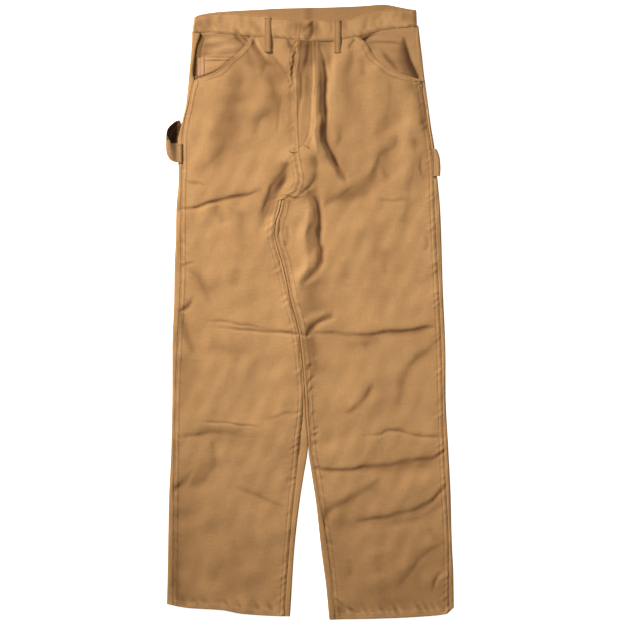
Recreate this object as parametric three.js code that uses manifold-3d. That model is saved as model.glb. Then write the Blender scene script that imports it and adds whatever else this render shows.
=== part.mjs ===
// Carpenter pants in heavy cotton duck, laid flat on their back with the front up.
// Millimetres: X to the viewer's right, Y towards the waist, Z up off the floor.
import * as THREE from "three";
import { mergeVertices } from "three/addons/utils/BufferGeometryUtils.js";
import Module from "manifold-3d";

// Driving sizes
const CLOTH = 1.2; // one layer of duck
const BAND_CLOTH = 2.4; // waistband, two layers and its interlining
const STRAP_CLOTH = 1.4; // folded straps and belt loops
const SEAM = 0.3; // space left between two pieces
const LAY = 5.8; // outer face of the front layer over the floor
const BAND_LAY = 6.6; // outer face of the front of the waistband
const LOWEST_FRONT = CLOTH + 0.4 + CLOTH; // no trough presses the front lower
const FLY_RISE = 1.6; // the fly flap lies this much over the other front
const FLY_FLAT = 34; // width of the flap before it slopes down
const FLY_SLOPE = 26; // width of that slope
const FLY_TUCK = 6; // width of the right front hidden under the flap
const TUCK_DROP = 0.8; // how far that hidden edge is pressed down
const FLY_FOOT = 290; // height of the bartack at the foot of the fly
const TUCK_START = 12; // the tuck reaches its width over this height
const CROTCH = 199; // height where the two legs part
const SCOOP_FOOT = 413; // height where the pockets' scoops meet the side seams
const HEM = -533; // nominal height of the hems
const WAIST = 485; // nominal height of the waist seam
const TOP_BLEND = 70; // stretch under the waist seam that follows its curve
const HEM_BLEND = 60; // stretch over the hem that follows its curve
const POCKET_TUCK = 12; // the facing runs this far under the scoop's edge
const ROW_STEP = 21; // distance between two rows of a leg's mesh
const COTTON = { roughness: 0.92, metalness: 0 };

// A table with named columns: one object for each row
function table(columns, rows) {
  const names = columns.split(" ");
  return rows.map((row) => Object.fromEntries(names.map((n, i) => [n, row[i]])));
}

// Outer side of each leg: the fold that makes the outline, and the side seam on top of it
const RIGHT_OUTER = table("y edge seam", [
  [499, -210, -189], [479, -210, -196], [461, -211, -203], [443, -213, -206],
  [425, -215, -208], [413, -216, -206], [392, -218, -211], [367, -221, -216],
  [342, -227, -222], [303, -235, -227], [262, -234, -227], [235, -234, -228],
  [183, -238, -229], [128, -239, -229], [84, -241, -229], [21, -242, -231],
  [-68, -245, -236], [-139, -245, -239], [-246, -247, -241], [-335, -251, -242],
  [-441, -253, -243], [-545, -255, -244],
]);
const LEFT_OUTER = table("y edge seam", [
  [512, 190, 184], [468, 196, 188], [440, 201, 192], [413, 205, 198],
  [377, 210, 204], [331, 216, 211], [294, 222, 216], [242, 227, 221],
  [189, 232, 222], [146, 234, 224], [46, 237, 229], [-89, 242, 235],
  [-139, 242, 236], [-246, 247, 239], [-326, 251, 243], [-406, 253, 247],
  [-473, 256, 248], [-550, 257, 248],
]);

// Inner side of each leg: the fold that faces the other leg, and the inseam on top of it
const RIGHT_INNER = table("y edge seam", [
  [199, -49, -54], [182, -53, -58], [160, -60, -64], [137, -62, -66], [116, -57, -62],
  [89, -49, -54], [57, -41, -46], [21, -34, -38], [-14, -24, -28], [-50, -17, -21],
  [-85, -13, -17], [-153, -8, -12], [-192, -6, -14], [-228, -3, -19], [-246, -4, -20],
  [-290, -11, -24], [-335, -18, -29], [-424, -28, -37], [-513, -34, -44], [-545, -37, -46],
]);
const LEFT_INNER = table("y edge seam", [
  [199, -49, -44], [182, -53, -47], [160, -60, -54], [137, -62, -56], [116, -57, -51],
  [89, -49, -43], [57, -41, -36], [21, -34, -28], [-14, -24, -19], [-50, -17, -12],
  [-85, -13, -8], [-153, -8, -3], [-192, -6, -1], [-228, -3, 2], [-246, -2, 3],
  [-290, 4, 11], [-335, 11, 18], [-424, 21, 32], [-513, 33, 43], [-550, 37, 47],
]);

// Edge of the fly flap down to its bartack, then the front rise seam to the crotch
const FLY_EDGE = table("y x", [
  [486, -23], [454, -25], [417, -30], [360, -29], [295, -27], [279, -26], [256, -22],
  [235, -19], [217, -25], [206, -38], [202, -46],
]);
const RISE_SEAM = [{ y: FLY_FOOT }, ...FLY_EDGE.slice(4)];
// Rows along the two creases that cross the left leg
const LEFT_CREASES = [{ y: -31 }, { y: -267 }];
// Centre back seam on the floor, which curves to the crotch as the rise seam does
const CENTRE_BACK = table("y x", [
  [512, -2], [342, -2], [288, -5], [244, -14], [217, -28], [CROTCH, -49],
]);
// Scooped edges of the front pockets
const RIGHT_SCOOP = table("y x", [
  [492, -106], [483, -106], [468, -115], [454, -130], [443, -145], [433, -157],
  [423, -177], [418, -192], [413, -206],
]);
const LEFT_SCOOP = table("y x", [
  [492, 79], [482, 88], [470, 100], [453, 111], [438, 131], [428, 150], [420, 173],
  [413, 198],
]);

// Curves across the garment: waist seam, band edges and hems
const WAIST_FRONT = table("x y", [
  [-210, 499], [-188, 498], [-158, 497], [-128, 494], [-80, 490], [-42, 487],
  [-25, 484], [38, 483], [57, 486], [80, 490], [109, 498], [139, 504], [166, 507],
  [191, 510],
]);
const WAIST_BACK = table("x y", [[-210, 499], [-2, 502], [191, 510]]);
const BAND_TOP_FRONT = table("x y", [
  [-206, 525], [-174, 531], [-146, 532], [-124, 531], [-89, 528], [-44, 523], [-23, 520],
  [34, 519], [73, 522], [100, 532], [130, 538], [178, 539], [190, 537],
]);
const BAND_TOP_BACK = table("x y", [
  [-206, 525], [-195, 530], [-160, 535], [-89, 539], [-53, 541], [36, 543], [89, 545],
  [116, 547], [130, 548], [161, 543], [190, 537],
]);
const HEM_RIGHT = table("x y", [
  [-255, -520], [-219, -527], [-156, -531], [-124, -537], [-89, -540], [-37, -542],
]);
const HEM_LEFT = table("x y", [[37, -548], [120, -546], [194, -543], [242, -538], [257, -526]]);

// Largest folds: from one end to the other, bowed to its left, with half width and height
const FOLDS = table("x1 y1 x2 y2 bow width height", [
  [-22, 212, -27, 34, 0, 17, 7.4], // ridge of cloth bunched at the crotch
  [1, 216, -10, 42, 14, 8, -6.5], // deep trough along that ridge
  [-231, 183, -84, 219, 3, 7, -2.2], // crease across the right hip
  [-231, 168, -90, 203, 3, 12, 1.6],
  [-122, 384, -192, 253, -10, 20, -1.8], // soft valley down the right hip
  [-71, 232, -89, 180, 6, 10, -1.6], // short valley beside the crotch
  [32, 452, 54, 255, -9, 11, -2.2], // trough beside the fly stitching
  [48, 448, 66, 270, -8, 12, 1.2],
  [-185, -16, -24, -38, 0, 7, -1.7], // creases behind the knees
  [10, -35, 222, -27, 0, 8, -1.8],
  [-6, -46, 42, -10, 3, 8, -2.4], // pucker at the left knee
  [220, -66, 106, -152, 6, 16, -1.4], // slack of the left shin
  [130, -218, 236, -223, 8, 12, -1.3],
  [11, -280, 237, -254, -6, 10, -2.2], // creases of the left calf
  [78, -378, 239, -320, -8, 11, -2],
  [-216, -220, -78, -228, 5, 14, -1.2], // slack of the right calf
  [-228, -308, -166, -270, 3, 12, -1.2],
  [-133, -318, -44, -352, 4, 14, -0.9],
]);
const END_FADE = 0.22; // share of a fold's length over which each end dies away

// Hammer loop: both edges of the strap, from its sewn end out, up and back to the fold
const HAMMER_LOOP = table("rimX rimY rimZ lowX lowY lowZ", [
  [-227, 301, 7.7, -227, 266, 7.7], [-239, 300, 8.6, -238, 267, 7.4],
  [-246, 300, 10.5, -247, 270, 5], [-248, 303, 12, -253, 277, 3],
  [-249, 308, 13, -256, 287, 1.6], [-248, 314, 13, -256.5, 298, 1.2],
  [-246, 320, 13, -254, 311, 1.2], [-243, 325, 12.5, -250, 322, 1.2],
  [-239, 329, 12, -245, 331, 1.2], [-234.5, 333, 11, -239, 337, 1.2],
  [-229.8, 336, 10, -231.5, 342, 1.2],
]);
// Strap end at the left hip: how far it stands out at each height
const HIP_STRAP = table("y edge", [
  [290, 226], [282, 229.5], [271, 232], [254, 233], [242, 232],
]);
const HIP_STRAP_START = 217;

const BELT_LOOPS = table("name x top foot", [
  ["belt_loop_right", -73, 525, 463],
  ["belt_loop_left", 49, 520, 461],
]);
const LOOP_WIDTH = 11;
const LOOP_BOW = 1.2; // the loops stand off the band by this much at mid height
const COIN = { left: -187, right: -128, top: 456, foot: 396 }; // small pocket on the facing
const ZIP = { left: -17, right: -8, top: 478, foot: 300 }; // closed zip behind the flap

const COLOURS = {
  panel: 0xc49a67, band: 0xc29663, trim: 0xb98c5a, facing: 0xae8350, zip: 0x8a7448,
};

function mix(a, b, t) {
  return a + (b - a) * t;
}

function ease(from, to, value) {
  return THREE.MathUtils.smoothstep(value, from, to);
}

// Reads a column of a table at a key, straight between its rows
function read(rows, key, value, column) {
  const up = rows[0][key] < rows[rows.length - 1][key];
  const sorted = up ? rows : [...rows].reverse();
  const i = sorted.findIndex((row) => row[key] >= value);
  if (i === 0) return sorted[0][column];
  if (i < 0) return sorted[sorted.length - 1][column];
  const [a, b] = [sorted[i - 1], sorted[i]];
  return mix(a[column], b[column], (value - a[key]) / (b[key] - a[key]));
}
const atY = (rows, y, column) => read(rows, "y", y, column);
const atX = (rows, x) => read(rows, "x", x, "y");

// Height that one fold adds at a place
function foldHeight(fold, x, y) {
  const length = Math.hypot(fold.x2 - fold.x1, fold.y2 - fold.y1);
  const ux = (fold.x2 - fold.x1) / length;
  const uy = (fold.y2 - fold.y1) / length;
  const t = ((x - fold.x1) * ux + (y - fold.y1) * uy) / length;
  if (t <= 0 || t >= 1) return 0;
  const bowed = fold.bow * 4 * t * (1 - t);
  const off = ((y - fold.y1) * ux - (x - fold.x1) * uy - bowed) / fold.width;
  const fade = ease(0, END_FADE, t) * ease(0, END_FADE, 1 - t);
  return fold.height * fade * Math.exp(-off * off);
}

// Outer height of the front layer, with its folds
function frontHeight(x, y) {
  const folds = FOLDS.reduce((sum, fold) => sum + foldHeight(fold, x, y), 0);
  return Math.max(LAY + folds, LOWEST_FRONT);
}

// Height that the fly flap adds over the other front
function flyRise(x, y) {
  const across = 1 - ease(FLY_FLAT, FLY_FLAT + FLY_SLOPE, x - atY(FLY_EDGE, y, "x"));
  return FLY_RISE * across * ease(FLY_FOOT - 35, FLY_FOOT - 8, y);
}

// Rows follow the waist seam's curve at the top and the hem's at the bottom
function curvedY(x, y, waist, hem) {
  const top = ease(WAIST - TOP_BLEND, WAIST, y) * (atX(waist, x) - SEAM - WAIST);
  const foot = (1 - ease(HEM, HEM + HEM_BLEND, y)) * (atX(hem, x) - HEM);
  return y + top + foot;
}

// Heights of the rows from the top of a piece to its foot
function rowHeights(top, foot, marks = [], step = ROW_STEP) {
  const count = Math.ceil((top - foot) / step);
  const even = Array.from({ length: count + 1 }, (_, i) => mix(top, foot, i / count));
  const kept = marks.filter((m) => m < top - 3 && m > foot + 3);
  const free = even.filter((y) => y === top || y === foot || kept.every((m) => Math.abs(m - y) > step / 3));
  return [...free, ...kept].sort((a, b) => b - a);
}

const heightsOf = (...tables) => tables.flat().map((row) => row.y);

// One point of a wall's outer face with the direction that points out of the cloth
function spot(x, y, z, nx = 0, nz = 1, ny = 0) {
  return { p: new THREE.Vector3(x, y, z), n: new THREE.Vector3(nx, ny, nz) };
}

// A closed wall: rows of outer points, the same points moved in, and the rim between them
function wall(rows, thickness) {
  const [count, width] = [rows.length, rows[0].length];
  const outer = rows.flat().map(({ p }) => p);
  const inner = rows.flat().map(({ p, n }) => p.clone().addScaledVector(n, -thickness));
  const points = [...outer, ...inner];
  const id = (r, c, layer = 0) => layer * count * width + r * width + c;
  const faces = [];
  const quad = (a, b, c, d) => faces.push(a, b, c, a, c, d);
  for (let r = 0; r < count - 1; r++) {
    for (let c = 0; c < width - 1; c++) {
      quad(id(r, c), id(r + 1, c), id(r + 1, c + 1), id(r, c + 1));
      quad(id(r, c, 1), id(r, c + 1, 1), id(r + 1, c + 1, 1), id(r + 1, c, 1));
    }
    const last = width - 1;
    quad(id(r, 0), id(r, 0, 1), id(r + 1, 0, 1), id(r + 1, 0));
    quad(id(r, last), id(r + 1, last), id(r + 1, last, 1), id(r, last, 1));
  }
  for (let c = 0; c < width - 1; c++) {
    const last = count - 1;
    quad(id(0, c), id(0, c + 1), id(0, c + 1, 1), id(0, c, 1));
    quad(id(last, c), id(last, c, 1), id(last, c + 1, 1), id(last, c + 1));
  }
  const volume = faces.reduce((sum, _, i) => {
    if (i % 3) return sum;
    const [a, b, c] = faces.slice(i, i + 3).map((k) => points[k]);
    return sum + a.dot(b.clone().cross(c));
  }, 0);
  if (volume < 0) faces.reverse();
  const geometry = new THREE.BufferGeometry();
  geometry.setAttribute("position", new THREE.Float32BufferAttribute(points.flatMap((p) => [...p]), 3));
  geometry.setIndex(faces);
  return geometry;
}

const wasm = await Module();
wasm.setup();

// Two overlapping walls of one cut piece become one body
function joined(first, second) {
  const solid = (geometry) => {
    const merged = mergeVertices(geometry, 1e-3);
    return new wasm.Manifold(new wasm.Mesh({
      numProp: 3,
      vertProperties: merged.attributes.position.array,
      triVerts: new Uint32Array(merged.index.array),
    }));
  };
  const mesh = solid(first).add(solid(second)).getMesh();
  const geometry = new THREE.BufferGeometry();
  geometry.setAttribute("position", new THREE.Float32BufferAttribute(mesh.vertProperties, 3));
  geometry.setIndex([...mesh.triVerts]);
  return geometry;
}

// Evenly spaced values, both ends included
function spread(from, to, count) {
  return Array.from({ length: count }, (_, i) => mix(from, to, i / (count - 1)));
}

// Points round a side fold from the top to the floor; out is -1 at a left edge, 1 at a right
function foldArc(edge, height, out, steps = 5) {
  const r = height / 2;
  return spread(0, 1, steps).map((floor) => {
    const a = Math.PI * (0.5 - floor);
    const [nx, nz] = [out * Math.cos(a), Math.sin(a)];
    return { x: edge + nx * r - out * r, z: r + nz * r, nx, nz, floor };
  });
}

const topPoint = (x, z) => ({ x, z, nx: 0, nz: 1, floor: 0 });
const floorPoint = (x) => ({ x, z: 0, nx: 0, nz: -1, floor: 1 });

// A leg's back panel at one height: from the side seam on top, round the fold, over the floor
// and, below the crotch, round the inner fold to the inseam
function backProfile(leg, y, below) {
  const outer = atY(leg.outer, y, "edge");
  const seam = atY(leg.outer, y, "seam") + leg.out * SEAM;
  const height = frontHeight(outer, y);
  const points = [topPoint(seam, frontHeight(seam, y)), ...foldArc(outer, height, leg.out)];
  const start = outer - leg.out * (height / 2);
  if (!below) {
    const middle = atY(CENTRE_BACK, y, "x") + leg.out * SEAM / 2;
    return [...points, ...spread(start, middle, 5).slice(1).map(floorPoint)];
  }
  const inner = atY(leg.inner, y, "edge") + leg.out * SEAM / 2;
  const innerHeight = Math.min(frontHeight(inner, y), LAY + 1);
  const turn = foldArc(inner, innerHeight, -leg.out).reverse();
  const under = spread(start, turn[0].x, 4).slice(1, -1).map(floorPoint);
  const inseam = atY(leg.inner, y, "seam") - leg.out * SEAM;
  return [...points, ...under, ...turn, topPoint(inseam, innerHeight)];
}

function backPanel(leg) {
  const rowsOf = (heights, below) => heights.map((y) => backProfile(leg, y, below).map((q) => {
    const front = curvedY(q.x, y, WAIST_FRONT, leg.hem);
    const back = curvedY(q.x, y, WAIST_BACK, leg.hem);
    return spot(q.x, mix(front, back, q.floor), q.z, q.nx, q.nz);
  }));
  const upper = rowHeights(WAIST, CROTCH, heightsOf(leg.outer, CENTRE_BACK), 30);
  const lower = rowHeights(CROTCH - 1, HEM, heightsOf(leg.inner), 34);
  return joined(
    wall(rowsOf([...upper, CROTCH - 1], false), CLOTH),
    wall(rowsOf([CROTCH, ...lower], true), CLOTH),
  );
}

// A front panel between its left and right edges, over rows that follow the waist and the hem
function frontPanel(leftEdge, rightEdge, hem, marks, lift, columns) {
  const rows = rowHeights(WAIST, HEM, marks).map((y) =>
    spread(leftEdge(y), rightEdge(y), columns).map((x) =>
      spot(x, curvedY(x, y, WAIST_FRONT, hem), frontHeight(x, y) + lift(x, y))));
  return wall(rows, CLOTH);
}

// Share of the right front's edge that is tucked under the flap at a height
function tucked(y) {
  return ease(FLY_FOOT, FLY_FOOT + TUCK_START, y);
}

function rightFront() {
  const left = (y) => (y > SCOOP_FOOT ? atY(RIGHT_SCOOP, y, "x") : atY(RIGHT_OUTER, y, "seam"));
  const right = (y) => {
    if (y <= CROTCH) return atY(RIGHT_INNER, y, "seam");
    return atY(FLY_EDGE, y, "x") - SEAM + (FLY_TUCK + SEAM) * tucked(y);
  };
  const drop = (x, y) => -TUCK_DROP * ease(-12, -1, x - atY(FLY_EDGE, y, "x")) * tucked(y);
  const marks = [...heightsOf(RIGHT_SCOOP, RISE_SEAM, RIGHT_INNER), FLY_FOOT + TUCK_START];
  return frontPanel(left, right, HEM_RIGHT, marks, drop, 14);
}

function leftFront() {
  const left = (y) => (y > CROTCH ? atY(FLY_EDGE, y, "x") : atY(LEFT_INNER, y, "seam"));
  const right = (y) => (y > SCOOP_FOOT ? atY(LEFT_SCOOP, y, "x") : atY(LEFT_OUTER, y, "seam"));
  const marks = heightsOf(LEFT_SCOOP, RISE_SEAM, LEFT_INNER, LEFT_CREASES);
  return frontPanel(left, right, HEM_LEFT, marks, flyRise, 17);
}

// Pocket facing: shows in the scoop, runs under the front and ends at the side seam
function facing(outer, scoop, out, height) {
  const foot = SCOOP_FOOT - POCKET_TUCK;
  const rows = rowHeights(WAIST, foot, [], 14).map((y) => {
    const seam = atY(outer, y, "seam");
    const edge = atY(scoop, Math.max(y, SCOOP_FOOT + 9), "x") - out * POCKET_TUCK;
    return spread(seam, edge, 6).map((x) => spot(x, curvedY(x, y, WAIST_FRONT, HEM_LEFT), height));
  });
  return wall(rows, CLOTH);
}

function coinPocket(height) {
  const rows = spread(COIN.top, COIN.foot, 4).map((y) =>
    spread(COIN.left, COIN.right, 4).map((x) => spot(x, y, height)));
  return wall(rows, CLOTH);
}

function zip() {
  const under = LAY + FLY_RISE - CLOTH - SEAM;
  const rows = spread(ZIP.top, ZIP.foot, 7).map((y) =>
    [ZIP.left, ZIP.right].map((x) => spot(x + atY(FLY_EDGE, y, "x") - FLY_EDGE[0].x, y, under)));
  return wall(rows, CLOTH * 0.7);
}

// Half of the waistband: front over the fly, round the side fold and along the floor
const BAND_RIGHT = { out: -1, foot: -210, top: -206, endFoot: -23 + 16, endTop: -21 + 16 };
const BAND_LEFT = { out: 1, foot: 191, top: 190, endFoot: -23, endTop: -21 };
const BAND_OVERLAP = 1.3; // the over end rises by this much, the under end sinks by a little more

function bandHeight(side, x) {
  if (side.out > 0) return BAND_LAY + BAND_OVERLAP * (1 - ease(20, 46, x));
  return BAND_LAY - (BAND_OVERLAP + 0.2) * ease(-46, -26, x);
}

function bandRow(side, v) {
  const edge = mix(side.foot, side.top, v);
  const end = mix(side.endFoot, side.endTop, v);
  const height = bandHeight(side, edge);
  const y = (x, floor) => {
    const front = mix(atX(WAIST_FRONT, x) + SEAM, atX(BAND_TOP_FRONT, x), v);
    const back = mix(atX(WAIST_BACK, x) + SEAM, atX(BAND_TOP_BACK, x), v);
    return mix(front, back, floor);
  };
  const turn = foldArc(edge, height, side.out);
  const middle = CENTRE_BACK[0].x + side.out * SEAM / 2;
  const front = spread(end, turn[0].x, 12).slice(0, -1).map((x) => spot(x, y(x, 0), bandHeight(side, x)));
  const bend = turn.map((q) => spot(q.x, y(q.x, q.floor), q.z, q.nx, q.nz));
  const back = spread(turn[0].x, middle, 9).slice(1).map((x) => spot(x, y(x, 1), 0, 0, -1));
  return [...front, ...bend, ...back];
}

function band(side) {
  return wall(spread(1, 0, 3).map((v) => bandRow(side, v)), BAND_CLOTH);
}

// Belt loop: lies over the band, bowed a little, with its foot on the front
function beltLoop({ x, top, foot }) {
  const rows = spread(top, foot, 8).map((y, i) => {
    const on = mix(LAY, BAND_LAY, ease(foot + 8, foot + 22, y));
    const bow = LOOP_BOW * Math.sin((i / 7) * Math.PI);
    const lie = Math.max(on, y > 483 ? BAND_LAY : LAY) + (x > 0 ? bandHeight(BAND_LEFT, x) - BAND_LAY : 0);
    return [-0.5, 0.5].map((s) => spot(x + s * LOOP_WIDTH, y, lie + SEAM + STRAP_CLOTH + bow));
  });
  return wall(rows, STRAP_CLOTH);
}

function hammerLoop() {
  const edges = HAMMER_LOOP.map((s) => [
    new THREE.Vector3(s.rimX, s.rimY, s.rimZ), new THREE.Vector3(s.lowX, s.lowY, s.lowZ),
  ]);
  const rows = edges.map(([rim, low], i) => {
    const before = edges[Math.max(i - 1, 0)];
    const after = edges[Math.min(i + 1, edges.length - 1)];
    const run = after[0].clone().add(after[1]).sub(before[0]).sub(before[1]);
    const n = run.cross(low.clone().sub(rim)).normalize();
    return spread(0, 1, 3).map((t) => ({ p: rim.clone().lerp(low, t), n: n.clone() }));
  });
  return wall(rows, STRAP_CLOTH);
}

function hipStrap() {
  const height = LAY + 2 * SEAM + STRAP_CLOTH;
  const floor = 0.2;
  const rows = HIP_STRAP.map(({ y, edge }) => {
    const turn = foldArc(edge, height, 1, 6);
    const start = spot(HIP_STRAP_START, y, height);
    const bend = turn.slice(0, -1).map((q) => spot(q.x, y, Math.max(q.z, floor), q.nx, q.nz));
    return [start, ...bend];
  });
  return wall(rows, STRAP_CLOTH);
}

const garment = new THREE.Group();

function sew(name, geometry, colour) {
  const material = new THREE.MeshStandardMaterial({ color: colour, ...COTTON });
  const mesh = new THREE.Mesh(geometry, material);
  mesh.name = name;
  garment.add(mesh);
}

const RIGHT_LEG = { out: -1, outer: RIGHT_OUTER, inner: RIGHT_INNER, hem: HEM_RIGHT };
const LEFT_LEG = { out: 1, outer: LEFT_OUTER, inner: LEFT_INNER, hem: HEM_LEFT };
const FACING_LOW = LAY - 2 * (CLOTH + SEAM); // leaves room for the coin pocket over it

sew("front_right", rightFront(), COLOURS.panel);
sew("front_left", leftFront(), COLOURS.panel);
sew("back_right", backPanel(RIGHT_LEG), COLOURS.panel);
sew("back_left", backPanel(LEFT_LEG), COLOURS.panel);
sew("waistband_right", band(BAND_RIGHT), COLOURS.band);
sew("waistband_left", band(BAND_LEFT), COLOURS.band);
sew("pocket_facing_right", facing(RIGHT_OUTER, RIGHT_SCOOP, -1, FACING_LOW), COLOURS.facing);
sew("pocket_facing_left", facing(LEFT_OUTER, LEFT_SCOOP, 1, LAY - CLOTH - SEAM), COLOURS.facing);
sew("coin_pocket", coinPocket(LAY - CLOTH - SEAM), COLOURS.panel);
sew("fly_zip", zip(), COLOURS.zip);
BELT_LOOPS.forEach((loop) => sew(loop.name, beltLoop(loop), COLOURS.trim));
sew("hammer_loop", hammerLoop(), COLOURS.trim);
sew("hip_strap_left", hipStrap(), COLOURS.trim);

export default garment;
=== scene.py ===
# Carpenter pants in tan cotton duck, laid flat on their back: cloth, seams, sewing and light.
# Sizes are in millimetres until a mesh is made: X to the viewer's right, Y to the waist, Z up.
import math

import bmesh
import bpy
import numpy as np
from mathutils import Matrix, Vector


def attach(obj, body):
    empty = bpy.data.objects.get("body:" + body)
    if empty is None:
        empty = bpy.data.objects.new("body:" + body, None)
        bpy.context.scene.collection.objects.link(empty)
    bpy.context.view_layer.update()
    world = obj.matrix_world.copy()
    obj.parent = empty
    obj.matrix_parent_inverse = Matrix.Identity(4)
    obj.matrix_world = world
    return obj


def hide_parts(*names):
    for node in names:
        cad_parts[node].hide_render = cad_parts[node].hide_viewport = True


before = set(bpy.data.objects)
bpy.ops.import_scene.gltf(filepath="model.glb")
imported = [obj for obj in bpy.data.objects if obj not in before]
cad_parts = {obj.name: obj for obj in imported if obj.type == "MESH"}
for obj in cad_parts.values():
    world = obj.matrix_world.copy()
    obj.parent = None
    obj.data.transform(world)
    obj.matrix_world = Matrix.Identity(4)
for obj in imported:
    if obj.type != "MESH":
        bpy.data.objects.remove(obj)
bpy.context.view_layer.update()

MM = 0.001

# Driving sizes, as in the solids
CLOTH = 1.2  # one layer of duck
BAND_CLOTH = 2.4
STRAP_CLOTH = 1.4
SEAM = 0.3  # space between two pieces
LEGS_MEET = 0.5  # how far each leg presses into the other where they touch
LAY = 5.8  # outer face of the front layer over the floor
BAND_LAY = 6.6
LOWEST_FRONT = 2.8
FLY_RISE = 1.6
FLY_FLAT = 34
FLY_SLOPE = 26
FLY_TUCK = 6
TUCK_DROP = 0.8
FLY_FOOT = 290
TUCK_START = 12
CROTCH = 199
SCOOP_FOOT = 413
HEM = -533
WAIST = 485
TOP_BLEND = 70
HEM_BLEND = 60
POCKET_TUCK = 12
FACING_LOW = LAY - 2 * (CLOTH + SEAM)
FACING_HIGH = LAY - CLOTH - SEAM

# Sewing
FELL_NEAR = 1.9  # first row of stitches from a seam's edge
FELL_FAR = 8.1  # second row
HEM_STITCH = 11  # row of stitches over the hem
STITCH_PITCH = 3.2
STITCH_LENGTH = 2.3
THREAD = 0.34  # radius of the thread
ROW = 0.8  # half width of the groove that a row of stitches pulls in
SOFT_ROW = 1.1  # and of a shallower one
ROW_TONE = 1.2  # how much painted shade a row of stitches puts in its groove
EDGE_ROLL = 0.5  # how far a sewn edge rolls in
EDGE_WIDE = 0.9
FELL_RIDGE = 0.24  # how far a felled seam stands up
FELL_GROOVE = 0.42  # depth of its rows of stitches
FLY_GROOVE = 0.45
HEM_STEP = 0.55
HEM_GROOVE = 0.5
HEM_PUCKER = 2.4  # how much more a hem draws up than a seam
PUCKER = 0.17  # height of the ripples beside a seam
PUCKER_LENGTH = 13
PUCKER_REACH = 9


def table(columns, rows):
    """Named columns, one array for each."""
    return {name: np.array(column, float) for name, column in zip(columns.split(), zip(*rows))}


# Outer side of each leg: the fold that makes the outline, and the side seam on top of it
RIGHT_OUTER = table("y edge seam", [
    (499, -210, -189), (479, -210, -196), (461, -211, -203), (443, -213, -206),
    (425, -215, -208), (413, -216, -206), (392, -218, -211), (367, -221, -216),
    (342, -227, -222), (303, -235, -227), (262, -234, -227), (235, -234, -228),
    (183, -238, -229), (128, -239, -229), (84, -241, -229), (21, -242, -231),
    (-68, -245, -236), (-139, -245, -239), (-246, -247, -241), (-335, -251, -242),
    (-441, -253, -243), (-545, -255, -244),
])
LEFT_OUTER = table("y edge seam", [
    (512, 190, 184), (468, 196, 188), (440, 201, 192), (413, 205, 198),
    (377, 210, 204), (331, 216, 211), (294, 222, 216), (242, 227, 221),
    (189, 232, 222), (146, 234, 224), (46, 237, 229), (-89, 242, 235),
    (-139, 242, 236), (-246, 247, 239), (-326, 251, 243), (-406, 253, 247),
    (-473, 256, 248), (-550, 257, 248),
])

# Inner side of each leg: the fold that faces the other leg, and the inseam on top of it
RIGHT_INNER = table("y edge seam", [
    (199, -49, -54), (182, -53, -58), (160, -60, -64), (137, -62, -66), (116, -57, -62),
    (89, -49, -54), (57, -41, -46), (21, -34, -38), (-14, -24, -28), (-50, -17, -21),
    (-85, -13, -17), (-153, -8, -12), (-192, -6, -14), (-228, -3, -19), (-246, -4, -20),
    (-290, -11, -24), (-335, -18, -29), (-424, -28, -37), (-513, -34, -44), (-545, -37, -46),
])
LEFT_INNER = table("y edge seam", [
    (199, -49, -44), (182, -53, -47), (160, -60, -54), (137, -62, -56), (116, -57, -51),
    (89, -49, -43), (57, -41, -36), (21, -34, -28), (-14, -24, -19), (-50, -17, -12),
    (-85, -13, -8), (-153, -8, -3), (-192, -6, -1), (-228, -3, 2), (-246, -2, 3),
    (-290, 4, 11), (-335, 11, 18), (-424, 21, 32), (-513, 33, 43), (-550, 37, 47),
])

# Edge of the fly flap down to its bartack, then the front rise seam to the crotch
FLY_EDGE = table("y x", [
    (486, -23), (454, -25), (417, -30), (360, -29), (295, -27), (279, -26), (256, -22),
    (235, -19), (217, -25), (206, -38), (202, -46),
])
CENTRE_BACK = table("y x", [
    (512, -2), (342, -2), (288, -5), (244, -14), (217, -28), (CROTCH, -49),
])
# Scooped edges of the front pockets
RIGHT_SCOOP = table("y x", [
    (492, -106), (483, -106), (468, -115), (454, -130), (443, -145), (433, -157),
    (423, -177), (418, -192), (413, -206),
])
LEFT_SCOOP = table("y x", [
    (492, 79), (482, 88), (470, 100), (453, 111), (438, 131), (428, 150), (420, 173),
    (413, 198),
])

# Curves across the garment: waist seam, band edges and hems
WAIST_FRONT = table("x y", [
    (-210, 499), (-188, 498), (-158, 497), (-128, 494), (-80, 490), (-42, 487),
    (-25, 484), (38, 483), (57, 486), (80, 490), (109, 498), (139, 504), (166, 507),
    (191, 510),
])
WAIST_BACK = table("x y", [(-210, 499), (-2, 502), (191, 510)])
BAND_TOP_FRONT = table("x y", [
    (-206, 525), (-174, 531), (-146, 532), (-124, 531), (-89, 528), (-44, 523), (-23, 520),
    (34, 519), (73, 522), (100, 532), (130, 538), (178, 539), (190, 537),
])
BAND_TOP_BACK = table("x y", [
    (-206, 525), (-195, 530), (-160, 535), (-89, 539), (-53, 541), (36, 543), (89, 545),
    (116, 547), (130, 548), (161, 543), (190, 537),
])
HEM_RIGHT = table("x y", [
    (-255, -520), (-219, -527), (-156, -531), (-124, -537), (-89, -540), (-37, -542),
])
HEM_LEFT = table("x y", [(37, -548), (120, -546), (194, -543), (242, -538), (257, -526)])

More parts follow.
